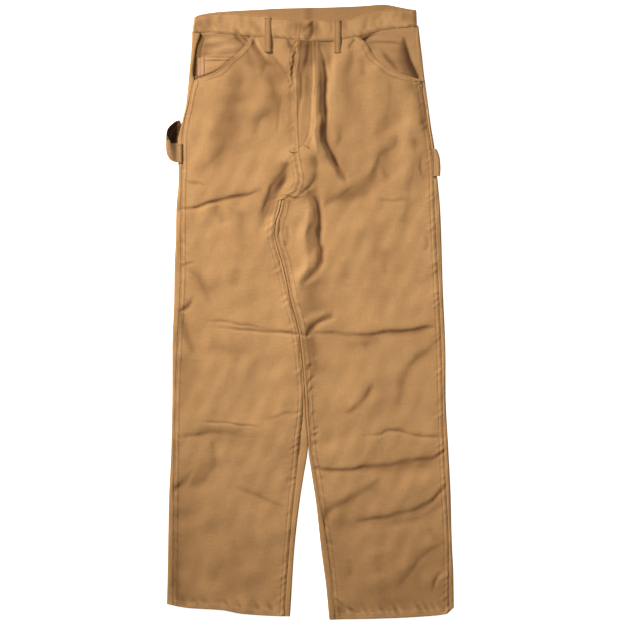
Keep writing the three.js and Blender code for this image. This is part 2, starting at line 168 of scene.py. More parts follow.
# Creases of the front: from one end to the other, bowed to their left, with half width and
# depth; a lip is the ridge pushed up beside a crease, on its left or, below zero, its right
CREASES = table("x1 y1 x2 y2 bow width depth lip", [
    # left hip
    (93, 454, 95, 415, 0, 5, 0.7, 0),
    (145, 247, 128, 228, 0, 6.5, 0.4, 0),
    (171, 418, 205, 379, 0, 9, 1.0, 0),
    (120, 198, 180, 198, 0, 3.9, 0.6, 0.2),
    (79, 488, 71, 464, 0, 2.6, 1.0, 0.2),
    # right hip
    (-231, 236, -196, 224, 0, 2.8, 0.7, 0.2),
    (-212, 232, -183, 222, 0, 2.6, 0.6, 0.2),
    (-52, 388, -56, 310, 0, 3, 0.5, 0),
    # crotch and the foot of the hollow
    (0, 58, 12, -10, 0, 16, 1.9, 0),
    (-10, 20, -6, -16, 0, 11, 0.6, 0),
    (-40, 158, -41, 108, 0, 4, 0.9, 0.2),
    (-47, 206, -14, 202, 0, 2.4, 1.2, 0.4),
    # right thigh and knee
    (-165, 192, -151, 152, 0, 8, 0.9, 0),
    (-124, 192, -117, 98, 5, 11, 1.1, 0),
    (-128, 80, -131, 40, 0, 13, 0.4, 0),
    (-227, 136, -231, 60, 0, 10, 0.6, 0),
    (-231, 80, -200, 88, 0, 2.8, 0.8, 0.2),
    (-190, -61, -94, -80, 0, 14, 0.9, 0),
    (-228, -80, -224, -160, 0, 13, 0.7, 0),
    (-203, -80, -208, -118, 0, 11, 0.6, 0),
    # left thigh and knee
    (126, -44, 96, -68, 0, 11, 0.9, 0),
    (-4, -46, 10, -88, 0, 13, 1, 0),
    (12, -50, 18, -118, -3, 13, 1, 0),
    (-8, -106, 6, -93, 0, 3.4, 1.0, 0.2),
    (-6, -129, 12, -111, 1, 3.0, 1.2, 0.2),
    (-4, -146, 9, -131, 0, 3.8, 1.0, 0.2),
    (121, 182, 117, 18, 0, 13, 0.6, 0),
    (141, 114, 137, 60, -3, 9, 0.6, 0),
    (66, 96, 64, 50, 0, 11, 0.4, 0),
    (214, 140, 208, 106, 0, 4.5, 1.2, 0),
    (222, 92, 192, 46, 6, 11, 0.7, 0),
    (186, 204, 166, 150, -2, 10, 0.8, 0),
    (92, 150, 84, 96, 0, 14, 0.4, 0),
    # right calf
    (-196, -194, -84, -205, 0, 2.6, 1.0, 0.3),
    (-139, -312, -39, -355, 4, 5, 1.1, 0),
    (-46, -299, -22, -299, 0, 3, 0.7, 0.2),
    (-87, -190, -14, -177, 0, 3.2, 0.7, 0.2),
    (-84, -393, -171, -498, 0, 30, 1.0, 0),
    (-60, -440, -120, -520, 0, 22, 0.7, 0),
    # left calf
    (89, -222, 130, -219, 0, 4, 0.5, 0),
    (212, -382, 228, -410, 0, 6, 0.8, 0),
    (70, -440, 76, -474, 0, 6, 0.8, 0),
    (123, -430, 128, -470, 0, 14, 0.7, 0),
    (100, -500, 170, -520, 0, 16, 0.8, 0),
    (41, -507, 64, -526, 0, 2.6, 1.2, 0.4),
    (59, -524, 91, -536, 0, 2.5, 1.0, 0.3),
    # puckers of the left inseam
    (2, -214, 16, -202, 0, 3.4, 1.1, 0.2),
    (3, -225, 19, -214, 1, 3.0, 1.3, 0.3),
    (3, -243, 15, -231, 0, 3.6, 1.0, 0.2),
    (2, -190, 16, -176, 0, 3.4, 0.9, 0.2),
    (5, -280, 22, -274, 0, 2.6, 0.9, 0.3),
    (13, -300, 30, -295, 0, 3.4, 0.7, 0.2),
])
END_FADE = 0.22
CREASE_POWER = 1.7
LIP_PLACE = 1.9  # in half widths from the middle of its crease
DEEPER = 1.14  # small creases together
DEEPER_FOLDS = 1.2
LOWER_FOLDS = 0.72  # the share of that below the knee
KNEE_LOW, KNEE_HIGH = -260, 60
UNEVEN = 0.1
WANDER = 1.2  # how far the lines of the creases stray
FINE_WANDER = 0.55
FOLD_WANDER = 0.45  # the share of it for the long folds

# Long folds, point by point: place, width of the flank on the viewer's right and on the left
# (below and above, where a fold runs across), and depth of the bottom; below zero is a ridge
FOLD_COLUMNS = "x y right left depth"
FOLDS = tuple(table(FOLD_COLUMNS, rows) for rows in (
    # hollow that ends the fly, then runs off over the thigh
    [(18, 486, 3, 3, 0.6), (19, 468, 4, 4, 1.6), (23, 456, 3, 5, 2.8), (26, 440, 3, 5, 5.0),
     (27, 395, 3.4, 5, 6.8), (28, 360, 3.4, 5, 6.8), (27, 327, 3.6, 5, 6.4), (28, 309, 4, 5, 5.4),
     (33, 293, 4, 5, 5.4), (42, 275, 4, 5, 5.2), (53, 255, 4, 5, 3.6), (66, 229, 4, 4, 0.6)],
    # brow on its left
    [(10, 452, 7, 7, -0.3), (10, 425, 7, 8, -2.2), (10, 370, 7, 8, -2.6), (9, 320, 7, 8, -2.4),
     (12, 290, 7, 8, -1.6), (18, 262, 6, 8, -0.2)],
    # lit swell beside it
    [(45, 470, 12, 9, 0), (45, 430, 12, 9, -1.1), (44, 370, 12, 9, -0.9), (43, 320, 10, 8, -0.6),
     (54, 288, 9, 8, -0.5), (66, 262, 9, 8, -0.2)],
    # folds in the fly
    [(2, 506, 3, 3, 0.4), (0, 488, 4, 5, 2.8), (-4, 470, 4, 6, 3.3), (-7, 452, 4, 6, 3.0),
     (-11, 434, 4, 5, 2.2), (-14, 413, 3, 4, 1.7), (-14, 391, 3, 4, 1.4), (-19, 368, 2.5, 3, 0.9),
     (-21, 333, 2.5, 3, 0.4), (-20, 306, 2.5, 3, 0.1)],
    [(-17, 495, 3, 4, 0.8), (-14, 477, 4, 4, 2.0), (-17, 462, 4, 4, 0.8), (-18, 450, 3, 3, 0)],
    [(-44, 492, 2, 2.5, 0.4), (-40, 486, 2.5, 2.5, 1.6), (-34, 473, 2.5, 3, 2.2), (-27, 459, 2.5, 3, 2.2),
     (-27, 445, 2.5, 3, 1.7), (-30, 422, 2, 3, 1.2), (-29, 400, 2, 3, 0.2)],
    # right hip, fanning out from the band
    [(-95, 488, 2.5, 2.5, -0.6), (-89, 476, 3, 2.5, -1.6), (-79, 461, 3, 3, -1.4), (-72, 450, 3, 3, 0)],
    [(-103, 489, 2.5, 3, 1.4), (-98, 478, 3, 4, 3.4), (-90, 463, 3, 5, 3.8), (-80, 448, 5, 6, 2.2),
     (-62, 434, 8, 6, 1.5), (-46, 412, 8, 7, 0.7), (-40, 400, 8, 6, 0)],
    [(-86, 452, 5, 4, 0.6), (-83, 436, 5, 5, 1.4), (-83, 418, 5, 4, 0.2)],
    [(-113, 470, 6, 5, 0.4), (-104, 448, 8, 7, 1.2), (-95, 424, 8, 6, 0.2)],
    [(-68, 458, 3, 4, 1.0), (-56, 444, 3, 5, 2.0), (-44, 428, 4, 5, 1.6), (-38, 414, 4, 4, 0.2)],
    # wide hollows of both hips and of the fly
    [(-118, 440, 30, 26, 0.3), (-128, 380, 30, 28, 0.7), (-140, 310, 34, 28, 0.8), (-185, 250, 26, 22, 0.3)],
    [(-52, 420, 22, 22, 0.4), (-58, 370, 26, 24, 1.3), (-76, 330, 24, 22, 0.2)],
    [(70, 430, 22, 20, 0.3), (84, 370, 26, 22, 0.7), (130, 300, 30, 28, 0.9), (150, 240, 28, 24, 0.3)],
    [(8, 490, 22, 26, 1.8), (2, 430, 20, 24, 2.0), (6, 350, 16, 14, 1.1), (8, 250, 16, 14, 0.8),
     (6, 210, 16, 16, 0.4)],
    [(196, 404, 14, 14, 0.6), (208, 350, 10, 10, 0.9), (208, 290, 12, 14, 0.7), (204, 200, 12, 14, 0.2)],
    # wide hollows of the legs
    [(-60, 200, 40, 30, 0.2), (-150, 120, 44, 34, 0.3), (-190, 40, 34, 30, 0.4), (-210, -60, 30, 26, 0.5),
     (-214, -160, 30, 26, 0.3)],
    [(60, 190, 30, 26, 0.3), (110, 120, 40, 34, 0.5), (120, 20, 44, 40, 0.4), (60, -30, 40, 30, 0.3)],
    [(214, -30, 30, 24, 0.3), (180, -110, 34, 30, 0.8), (90, -180, 34, 34, 0.8), (30, -190, 24, 24, 0.2)],
    [(-220, -280, 24, 30, 0.4), (-215, -340, 26, 34, 1.4), (-220, -440, 26, 34, 1.4),
     (-200, -520, 24, 26, 0.6)],
    [(140, -310, 34, 30, 0.3), (60, -350, 34, 30, 1.2), (50, -430, 26, 26, 1.2), (110, -500, 34, 30, 1.0),
     (200, -500, 30, 30, 1.1)],
    # low swells between the hollows
    [(110, 420, 26, 24, -0.3), (112, 370, 26, 24, -0.9), (112, 330, 24, 22, -0.9), (108, 290, 20, 20, -0.2)],
    [(186, 380, 16, 20, -0.4), (174, 310, 18, 22, -1.0), (172, 240, 18, 22, -1.1), (168, 170, 18, 20, -0.4)],
    [(95, 150, 30, 30, -0.3), (105, 100, 34, 34, -0.7), (90, 60, 30, 30, -0.3)],
    [(212, 140, 16, 16, -0.3), (212, 125, 16, 16, -1.1), (222, 60, 16, 18, -0.6), (215, 30, 16, 16, -0.2)],
    [(-26, 50, 14, 16, -0.3), (-27, 25, 14, 16, -1.3), (-30, -5, 12, 16, -0.3)],
    [(195, -60, 24, 20, -0.4), (182, -85, 24, 22, -1.5), (165, -130, 20, 20, -0.4)],
    [(95, -125, 16, 16, -0.5), (86, -150, 16, 16, -1.4), (70, -170, 14, 14, -0.3)],
    [(110, -300, 22, 16, -0.4), (80, -318, 22, 16, -1.2), (50, -345, 20, 18, -0.4)],
    [(-220, -205, 20, 14, -0.3), (-180, -203, 24, 14, -1.3), (-140, -205, 20, 14, -0.3)],
    [(-240, -290, 14, 16, -0.4), (-243, -330, 14, 16, -1.0), (-245, -380, 12, 14, -0.5)],
    [(-66, 175, 14, 12, -0.2), (-64, 152, 14, 12, -1.6), (-66, 120, 12, 12, -0.2)],
    # broad hollows beside the folds of crotch and fly
    [(-40, 252, 8, 9, 0.8), (-49, 230, 8, 11, 2.5), (-64, 202, 8, 11, 2.2), (-76, 176, 10, 10, 2.1),
     (-84, 156, 9, 9, 1.1), (-88, 144, 8, 8, 0.2)],
    [(12, 268, 7, 9, 0.3), (14, 240, 7, 9, 1.0), (10, 208, 8, 8, 0.8), (8, 190, 8, 8, 0.2)],
    [(-12, 215, 12, 12, 0.9), (-6, 200, 12, 13, 1.9), (2, 175, 12, 12, 1.3), (8, 150, 12, 12, 0.6)],
    [(6, 145, 10, 12, 0.8), (5, 120, 9, 14, 2.1), (-4, 97, 10, 14, 1.7), (-20, 75, 12, 12, 0.5)],
    [(-6, 470, 12, 12, 0.4), (-3, 430, 10, 12, 1.2), (0, 390, 10, 10, 0.8), (0, 350, 9, 9, 0.1)],
    [(42, 370, 14, 8, 0.4), (48, 320, 20, 12, 1.1), (58, 280, 15, 10, 0.8), (70, 245, 12, 10, 0.4)],
    [(-84, 455, 14, 14, 0.5), (-80, 430, 16, 16, 1.9), (-60, 406, 14, 12, 0.8)],
    [(118, 226, 12, 12, 0.8), (96, 212, 14, 12, 1.2), (66, 196, 12, 12, 0.6)],
    [(16, 80, 12, 12, 0.4), (16, 55, 12, 12, 1.0), (12, 30, 12, 12, 0.3)],
    [(8, -20, 11, 10, 0.8), (6, -42, 12, 10, 2.0), (12, -80, 12, 12, 1.0), (8, -125, 12, 12, 0.9)],
    [(60, -55, 16, 14, 0.5), (80, -63, 18, 14, 0.8), (110, -58, 14, 12, 0.3)],
    [(36, 470, 8, 8, 0.5), (37, 448, 8, 8, 1.2), (38, 430, 7, 7, 0.3)],
    [(30, 340, 8, 7, 0.6), (34, 300, 10, 8, 1.7), (44, 268, 10, 8, 1.5), (60, 240, 8, 8, 0.5)],
    [(140, 275, 14, 14, 0.4), (141, 260, 14, 14, 1.1), (135, 245, 12, 12, 0.3)],
    [(156, 365, 16, 16, 0.3), (154, 345, 16, 16, 0.9), (150, 320, 14, 14, 0.2)],
    [(-210, 258, 16, 14, 0.5), (-192, 250, 16, 14, 0.7), (-175, 242, 14, 14, 0.2)],
    [(-88, 210, 12, 10, 0.7), (-128, 204, 14, 8, 0.5), (-165, 194, 12, 8, 0.3)],
    [(-212, 174, 14, 10, 0.6), (-238, 176, 12, 10, 1.0)],
    [(-190, 170, 16, 14, -0.3), (-185, 160, 16, 14, -0.8), (-180, 145, 14, 14, -0.2)],
    [(-126, 112, 16, 16, 0.3), (-126, 95, 18, 18, 0.9), (-128, 75, 16, 16, 0.2)],
    [(-222, -105, 20, 20, 0.4), (-212, -125, 22, 22, 0.9), (-216, -165, 22, 22, 0.9),
     (-220, -185, 16, 16, 0.2)],
    [(-60, -165, 18, 18, 0.3), (-66, -192, 18, 18, 0.8), (-70, -205, 16, 16, 0.3)],
    [(-110, -90, 18, 20, -0.3), (-110, -105, 18, 20, -0.7), (-112, -125, 16, 18, -0.2)],
    [(22, -200, 16, 16, 0.4), (34, -222, 20, 18, 1.1), (40, -240, 16, 14, 0.3)],
    [(120, -195, 18, 18, -0.3), (112, -225, 20, 18, -0.7), (100, -255, 16, 16, -0.4)],
    [(130, -22, 18, 12, -0.5), (165, -20, 20, 12, -0.7), (200, -16, 18, 12, -0.5)],
    # broad hollows of both calves
    [(-122, -255, 16, 16, 0.3), (-121, -275, 16, 18, 0.9), (-118, -290, 14, 14, 0.2)],
    [(122, -312, 14, 12, 0.4), (121, -326, 14, 14, 1.0), (112, -335, 12, 12, 0.3)],
    [(212, -445, 14, 14, 0.6), (200, -465, 14, 14, 1.4), (182, -485, 12, 12, 0.5)],
    [(-190, -290, 16, 16, 0.4), (-182, -302, 18, 16, 1.7), (-165, -312, 14, 14, 0.3)],
    [(-150, -232, 18, 12, 0.6), (-115, -236, 20, 14, 0.9), (-80, -232, 16, 12, 0.3)],
    [(110, -286, 16, 10, 0.6), (170, -279, 20, 11, 1.7), (212, -272, 18, 11, 1.9), (240, -262, 14, 8, 0.5)],
    [(120, -378, 18, 10, 0.8), (165, -374, 22, 10, 2.1), (200, -366, 20, 10, 1.8), (240, -335, 14, 10, 0.7)],
    [(228, -410, 30, 30, 0.8), (240, -450, 26, 26, 1.2), (250, -520, 20, 20, 0.8)],
    [(60, -540, 24, 18, 0.8), (150, -540, 30, 18, 1.0), (230, -530, 30, 18, 0.9)],
    [(96, -400, 30, 30, 0.3), (140, -425, 30, 30, 0.6), (130, -480, 24, 24, 0.2)],
    [(-236, -480, 12, 20, 0.4), (-236, -515, 14, 18, 1.2)],
    # broad hollows of the right hip
    [(-122, 436, 14, 12, 0.3), (-126, 412, 18, 14, 1.8), (-130, 386, 20, 16, 2.3), (-138, 350, 22, 18, 2.3),
     (-146, 315, 20, 18, 2.3), (-156, 288, 16, 14, 2.2), (-174, 267, 12, 10, 1.5), (-192, 247, 8, 6, 0.2)],
    [(-68, 420, 8, 9, 0.4), (-61, 388, 10, 12, 1.1), (-56, 368, 10, 12, 1.1), (-72, 354, 12, 12, 0.7),
     (-90, 338, 10, 9, 1.2), (-95, 310, 8, 8, 0.2)],
    # left hip
    [(80, 490, 3, 3, 0.4), (77, 466, 6, 6, 1.1), (74, 440, 9, 9, 1.1), (70, 420, 12, 12, 1.1),
     (68, 398, 13, 12, 1.0), (78, 380, 12, 12, 0.8), (96, 384, 10, 10, 0.2)],
    [(143, 424, 10, 9, 0.3), (145, 395, 14, 12, 1.1), (143, 365, 15, 13, 1.3), (138, 340, 14, 13, 1.3),
     (128, 321, 12, 11, 1.1), (112, 310, 9, 8, 0.2)],
    [(156, 316, 9, 7, 0.3), (152, 298, 11, 9, 1.5), (139, 285, 12, 9, 1.5), (117, 276, 9, 7, 0.4)],
    [(56, 334, 6, 5, 0.2), (54, 310, 7, 6, 1.1), (47, 286, 6, 5, 0.1)],
    # long diagonal under the left hip
    [(125, 276, 6, 4, 0.4), (121, 262, 7, 5, 1.6), (116, 247, 9, 7, 2.4), (105, 231, 10, 9, 2.8),
     (86, 217, 10, 10, 2.8), (62, 205, 9, 9, 2.3), (38, 195, 7, 7, 1.4), (24, 187, 5, 5, 0.1)],
    [(125, 268, 5, 5, 0.3), (134, 252, 6, 5, 0.9), (142, 241, 7, 5, 0.8), (150, 237, 6, 5, 0.1)],
    # outer side of the left hip
    [(199, 412, 5, 6, 0.4), (205, 392, 6, 8, 2.2), (209, 368, 6, 9, 2.6), (205, 342, 6, 8, 2.0),
     (211, 315, 5, 6, 0.3)],
    [(186, 312, 8, 7, 0.3), (190, 298, 9, 8, 1.6), (188, 280, 8, 7, 0.3)],
    [(200, 276, 2.5, 3, 0.3), (198, 258, 3, 3, 1.2), (204, 237, 3, 3, 0.2)],
    [(194, 276, 10, 8, 0.3), (185, 250, 12, 10, 1.0), (180, 224, 12, 11, 1.1), (176, 200, 11, 10, 0.9),
     (172, 172, 9, 8, 0.2)],
    # crotch
    [(16, 300, 5, 7, 0.2), (14, 280, 5, 7, 1.0), (13, 262, 5, 7, 1.5), (11, 242, 5, 6, 1.3),
     (2, 224, 3.5, 4, 1.5), (-8, 217, 3, 3, 1.6), (-18, 209, 3, 3, 0.6)],
    [(-37, 268, 4, 4, 0.5), (-41, 258, 6, 9, 2.4), (-46, 244, 6, 11, 3.4), (-54, 228, 6, 10, 3.2),
     (-63, 215, 5, 6, 1.8), (-68, 208, 4, 4, 0.4)],
    [(-66, 228, 3, 3, 0.4), (-70, 216, 5, 4, 2.2), (-73, 204, 5, 5, 2.4), (-78, 190, 6, 5, 1.9),
     (-86, 173, 6, 6, 0.2)],
    [(-2, 213, 5, 3, 1.6), (9, 203, 6, 4, 3.4), (14, 188, 4, 5, 5.2), (16, 173, 4.4, 6, 6.4),
     (17, 155, 4.6, 6.5, 6.8), (16, 138, 4.6, 7, 6.8), (17, 122, 4.6, 7, 6.4), (21, 107, 4.4, 7, 5.6),
     (21, 91, 4, 6, 4.4), (17, 81, 4.5, 6, 3.6), (11, 73, 5, 6, 2.6), (0, 62, 6, 5, 1.8),
     (-12, 50, 5, 4, 0.8)],
    # lit crest over it
    [(-8, 206, 5, 9, -0.6), (-2, 190, 7, 12, -2.0), (-2, 172, 7, 13, -2.2), (-6, 148, 7, 13, -2.0),
     (-9, 130, 7, 12, -1.8), (-8, 112, 7, 12, -1.7), (-4, 96, 7, 12, -1.9), (-4, 82, 7, 12, -2.2),
     (-14, 64, 7, 11, -2.2), (-20, 50, 6, 9, -0.6), (-24, 38, 6, 8, 0)],
    # line across the right thigh
    [(-84, 217, 3, 3, 0.2), (-96, 213, 3.5, 3, 1.0), (-106, 209, 4, 3, 1.3), (-124, 206, 4, 3, 1.9),
     (-146, 201, 4, 3, 2.0), (-169, 196, 4, 3, 2.1), (-187, 192, 4, 3, 2.2), (-208, 184, 4, 2.5, 1.9),
     (-222, 183, 3.5, 2.5, 1.1), (-234, 182, 3, 2.5, 0.7)],
    # right thigh and the outer side of the knee
    [(-214, 76, 6, 5, 0.3), (-195, 57, 8, 7, 1.5), (-185, 39, 9, 8, 1.7), (-177, 16, 7, 6, 0.3)],
    [(-208, 24, 4, 4, 0.5), (-216, 9, 5, 5, 2.0), (-229, 2, 4, 4, 1.2)],
    [(-227, 0, 5, 5, 1.0), (-225, -12, 6, 6, 2.2), (-223, -29, 7, 6, 2.6), (-219, -46, 7, 6, 2.2),
     (-212, -59, 7, 6, 1.9), (-201, -75, 5, 5, 0.3)],
    # lines across both knees
    [(-184, -16, 2.5, 2.5, 0.3), (-151, -18, 3, 2.5, 1.1), (-124, -23, 3, 2.5, 1.1), (-85, -29, 3, 2.5, 0.5),
     (-60, -32, 3, 2.5, 0)],
    [(-172, -26, 2.5, 2.5, 0.2), (-124, -32, 3, 2.5, 1.2), (-85, -35, 3, 2.5, 1.6), (-53, -37, 3.5, 2.5, 1.8),
     (-19, -41, 3.5, 2.5, 1.9), (-6, -42, 3, 2.5, 1.2)],
    [(12, -37, 3, 4, 0.8), (45, -39, 3, 5, 1.3), (72, -40, 3, 6, 1.5), (107, -41, 4, 7, 1.9),
     (128, -38, 4, 7, 2.6), (160, -36, 4, 7, 2.9), (187, -33, 4, 7, 2.8), (207, -29, 4, 6, 2.3),
     (225, -28, 3, 4, 0.8)],
    [(41, -3, 4, 5, 0.6), (38, -9, 4, 6, 2.6), (30, -13, 4, 5, 2.8), (15, -20, 4, 5, 3.0),
     (4, -30, 4, 6, 3.4), (-3, -41, 4, 5, 2.4), (-6, -48, 4, 4, 0.4)],
    # diagonals of the left calf
    [(222, -57, 7, 6, 0.4), (205, -76, 9, 8, 1.7), (187, -89, 10, 9, 2.0), (175, -107, 10, 10, 2.0),
     (166, -130, 10, 10, 1.7), (163, -160, 8, 8, 0.3)],
    [(113, -126, 6, 6, 0.3), (104, -148, 8, 8, 1.9), (89, -165, 8, 8, 1.9), (75, -177, 7, 7, 1.6),
     (60, -182, 5, 5, 0.2)],
    # right calf
    [(-228, -222, 4, 4, 0.2), (-218, -221, 5, 5, 1.5), (-195, -219, 6, 6, 2.1), (-172, -215, 8, 7, 2.1),
     (-151, -217, 8, 7, 1.5), (-106, -222, 8, 7, 1.1), (-60, -224, 7, 6, 0.2)],
    [(-173, -234, 5, 5, 0.3), (-167, -258, 6, 7, 1.3), (-167, -272, 7, 10, 2.2), (-182, -288, 9, 10, 2.3),
     (-199, -303, 9, 9, 1.7), (-215, -314, 6, 6, 0.3)],
    [(-210, -286, 4, 5, 0.5), (-223, -304, 5, 6, 2.2), (-238, -316, 5, 5, 1.8)],
    [(-231, -318, 7, 7, 0.6), (-233, -345, 9, 9, 1.1), (-236, -400, 9, 9, 1.6), (-238, -450, 9, 9, 2.3),
     (-236, -490, 10, 9, 2.6), (-228, -516, 10, 8, 2.4), (-220, -526, 6, 6, 1.0)],
    # left calf
    [(106, -223, 3, 3, 0.2), (126, -219, 3, 3, 0.9), (140, -212, 3.5, 3, 1.6), (155, -212, 3.5, 3, 1.7),
     (178, -217, 3.5, 3, 1.4), (200, -223, 3.5, 3, 1.6), (228, -224, 3.5, 3, 1.3), (244, -221, 3, 3, 0.6)],
    [(4, -279, 3, 3, 0.8), (27, -282, 4, 5, 2.3), (54, -283, 4, 6, 2.8), (80, -282, 5, 6, 3.0),
     (98, -277, 5, 7, 2.8), (125, -276, 5, 7, 2.6), (161, -271, 5, 7, 2.8), (196, -265, 4, 7, 2.8),
     (219, -262, 4, 5, 2.8), (234, -252, 4, 4, 2.2), (243, -244, 3, 3, 0.8)],
    [(84, -375, 3, 4, 0.3), (111, -369, 4, 5, 1.8), (134, -367, 4, 5, 2.5), (161, -360, 5, 6, 2.5),
     (184, -355, 5, 7, 2.0), (196, -349, 4, 6, 2.5), (214, -340, 4, 5, 2.5), (234, -320, 4, 4, 2.2),
     (244, -309, 3, 3, 0.8)],
    [(124, -302, 6, 6, 0.3), (98, -320, 8, 9, 1.5), (72, -336, 8, 9, 1.7), (45, -349, 8, 8, 1.5),
     (29, -365, 7, 7, 1.9), (25, -388, 7, 6, 1.9), (29, -415, 7, 6, 1.5), (38, -459, 6, 5, 0.9),
     (43, -495, 5, 5, 0.8)],
    [(236, -412, 6, 7, 0.6), (214, -427, 8, 9, 1.7), (196, -441, 9, 10, 1.8), (178, -468, 9, 10, 1.7),
     (158, -493, 8, 8, 0.4)],
    [(238, -460, 3, 4, 0.4), (226, -477, 3, 5, 1.9), (220, -497, 3, 4, 0.5)],
))
FOLD_POWER = 1.5  # 1 is a sharp bottom, 2 a round one
FOLD_STEP = 1.5

# Hollows of the pocket facings
RIGHT_FACING_FOLDS = tuple(table(FOLD_COLUMNS, rows) for rows in (
    [(-134, 494, 3, 3, 0.5), (-127, 486, 3, 3, 1.8), (-118, 477, 3, 3, 1.6), (-112, 471, 3, 3, 0.4)],
    [(-122, 493, 2.5, 2.5, 0.8), (-114, 485, 2.5, 2.5, 1.6), (-108, 479, 2.5, 2.5, 0.8)],
    [(-130, 484, 12, 12, 0.2), (-124, 466, 12, 12, 0.8), (-128, 452, 10, 10, 0.2)],
    [(-188, 490, 10, 12, 0.8), (-184, 462, 10, 12, 0.9)],
))
LEFT_FACING_FOLDS = tuple(table(FOLD_COLUMNS, rows) for rows in (
    [(97, 484, 10, 10, 1.0), (106, 472, 10, 10, 0.8), (116, 460, 9, 9, 0.2)],
    [(169, 486, 3, 4, 1.0), (171, 476, 3, 7, 2.6), (175, 462, 3, 11, 3.2), (180, 446, 3, 15, 3.4),
     (187, 431, 3, 16, 3.4), (193, 418, 3, 12, 3.2)],
    [(130, 463, 4, 4, 0.4), (139, 452, 4, 4, 1.6), (150, 440, 4, 5, 1.6), (156, 432, 4, 4, 0.8)],
    [(90, 481, 4, 5, 3.6), (96, 473, 4, 5, 3.0), (105, 463, 4, 4, 1.8), (114, 453, 4, 3, 0.4)],
    [(90, 478, 3, 4, 3.4), (98, 485, 3, 4, 2.8), (108, 491, 3, 3, 1.8), (119, 496, 3, 3, 0.3)],
    [(104, 478, 3, 2.5, 0.3), (125, 480, 3, 2.5, 0.8), (146, 479, 3, 2.5, 0.8), (164, 476, 3, 2.5, 0.5)],
))

# Hollows in the front of the waistband
BAND_FOLDS = tuple(table(FOLD_COLUMNS, rows) for rows in (
    [(-20, 518, 8, 8, 0.6), (-19, 508, 9, 8, 2.4), (-18, 492, 7, 7, 0.8)],
    [(13, 518, 7, 7, 0.6), (13, 505, 9, 8, 3.0), (12, 492, 7, 7, 1.4)],
    [(-178, 522, 14, 14, 0.7), (-178, 502, 14, 14, 0.9)],
    [(6, 518, 3, 4, 0.8), (6, 508, 3, 7, 2.2), (5, 496, 3, 8, 2.4), (1, 486, 3, 6, 1.8)],
    [(-14, 498, 3, 3, 0.2), (-8, 503, 4, 4, 1.2), (2, 510, 3, 4, 1.0), (8, 518, 3, 3, 0.3)],
    [(37, 518, 3, 3, 0.3), (40, 507, 3, 3, 0.8), (39, 496, 3, 3, 0.3)],
    [(-131, 505, 3, 3, 0.1), (-126, 499, 3, 3, 0.9), (-120, 492, 3, 3, 0.5)],
    [(-113, 502, 3, 3, 0.1), (-107, 495, 3, 3, 0.9), (-102, 488, 3, 3, 0.6)],
    [(103, 524, 9, 6, 0.2), (100, 512, 9, 7, 0.8), (97, 498, 8, 6, 0.6)],
    [(-180, 528, 10, 8, 0.2), (-176, 514, 10, 8, 0.7), (-180, 500, 8, 7, 0.3)],
))

# Hammer loop: both edges of the strap, from its sewn end out, up and back to the fold
HAMMER_LOOP = table("rimX rimY rimZ lowX lowY lowZ", [
    (-228.5, 301, 6.3, -228.5, 266, 6.3), (-231.5, 301, 6.5, -231.5, 266, 6.5),
    (-239, 300, 7.8, -238, 267, 7.2),
    (-246, 300, 10.5, -247, 270, 5), (-248, 303, 12, -253, 277, 3),
    (-251, 309, 13, -256, 287, 1.6), (-254.5, 316, 13, -256.5, 298, 1.2),
    (-253.5, 323, 13, -251.5, 311, 1.9), (-250, 329, 12.5, -247, 320, 1.9),
    (-245, 334, 12, -242, 327, 1.9), (-239, 339, 9, -237, 333, 1.9),
    (-232, 342, 7, -230, 338, 1.9),
])
LOOP_ROOT = -229  # where the loop's lower run goes under the leg
HIP_STRAP = table("y edge", [(290, 226), (282, 229.5), (271, 232), (254, 233), (242, 232)])
HIP_STRAP_START = 217
BELT_LOOPS = (("belt_loop_right", -75, 525, 463), ("belt_loop_left", 49, 520, 461))
LOOP_WIDTH = 11
LOOP_BOW = 0.4
COIN_ROWS = (2.2, 8.4)  # rows of stitches under the coin pocket's top edge
COIN = {"left": -187, "right": -128, "top": 456, "foot": 396}
ZIP = {"left": -17, "right": -8, "top": 478, "foot": 300}
BAND_RIGHT = {"out": -1, "foot": -210, "top": -206, "end_foot": -7, "end_top": -5, "end_shade": 0}
BAND_LEFT = {"out": 1, "foot": 191, "top": 190, "end_foot": -23, "end_top": -21, "end_shade": 5}
BAND_OVERLAP = 1.3
BAND_TALL = 37
BAND_ROW = 2.4  # rows of stitches from the band's edges
BAND_LAP = 0.8  # how far the band reaches over its seam with the panels
RIGHT_LEG = {"out": -1, "outer": RIGHT_OUTER, "inner": RIGHT_INNER, "hem": HEM_RIGHT, "edge_shade": 0}
LEFT_LEG = {"out": 1, "outer": LEFT_OUTER, "inner": LEFT_INNER, "hem": HEM_LEFT, "edge_shade": 0.5}

# Two rows of stitches down the fly, which turn in to the bartack at its foot
FLY_STITCH_NEAR = table("x y", [
    (3, 478), (4, 449), (4, 413), (2, 385), (1, 350), (-2, 322), (-9, 303), (-21, 291),
])
FLY_STITCH_FAR = table("x y", [
    (10, 478), (10.5, 449), (10.3, 413), (8.5, 385), (7.5, 350), (5, 320), (-2, 298), (-14, 286),
])


def hump(value, place, width):
    """A soft hump: 1 at its place, about a third at its width to either side."""
    return np.exp(-((value - place) / width) ** 2)


def ease(start, end, value):
    t = np.clip((value - start) / (end - start), 0, 1)
    return t * t * (3 - 2 * t)


def mix(a, b, t):
    return a + (b - a) * t


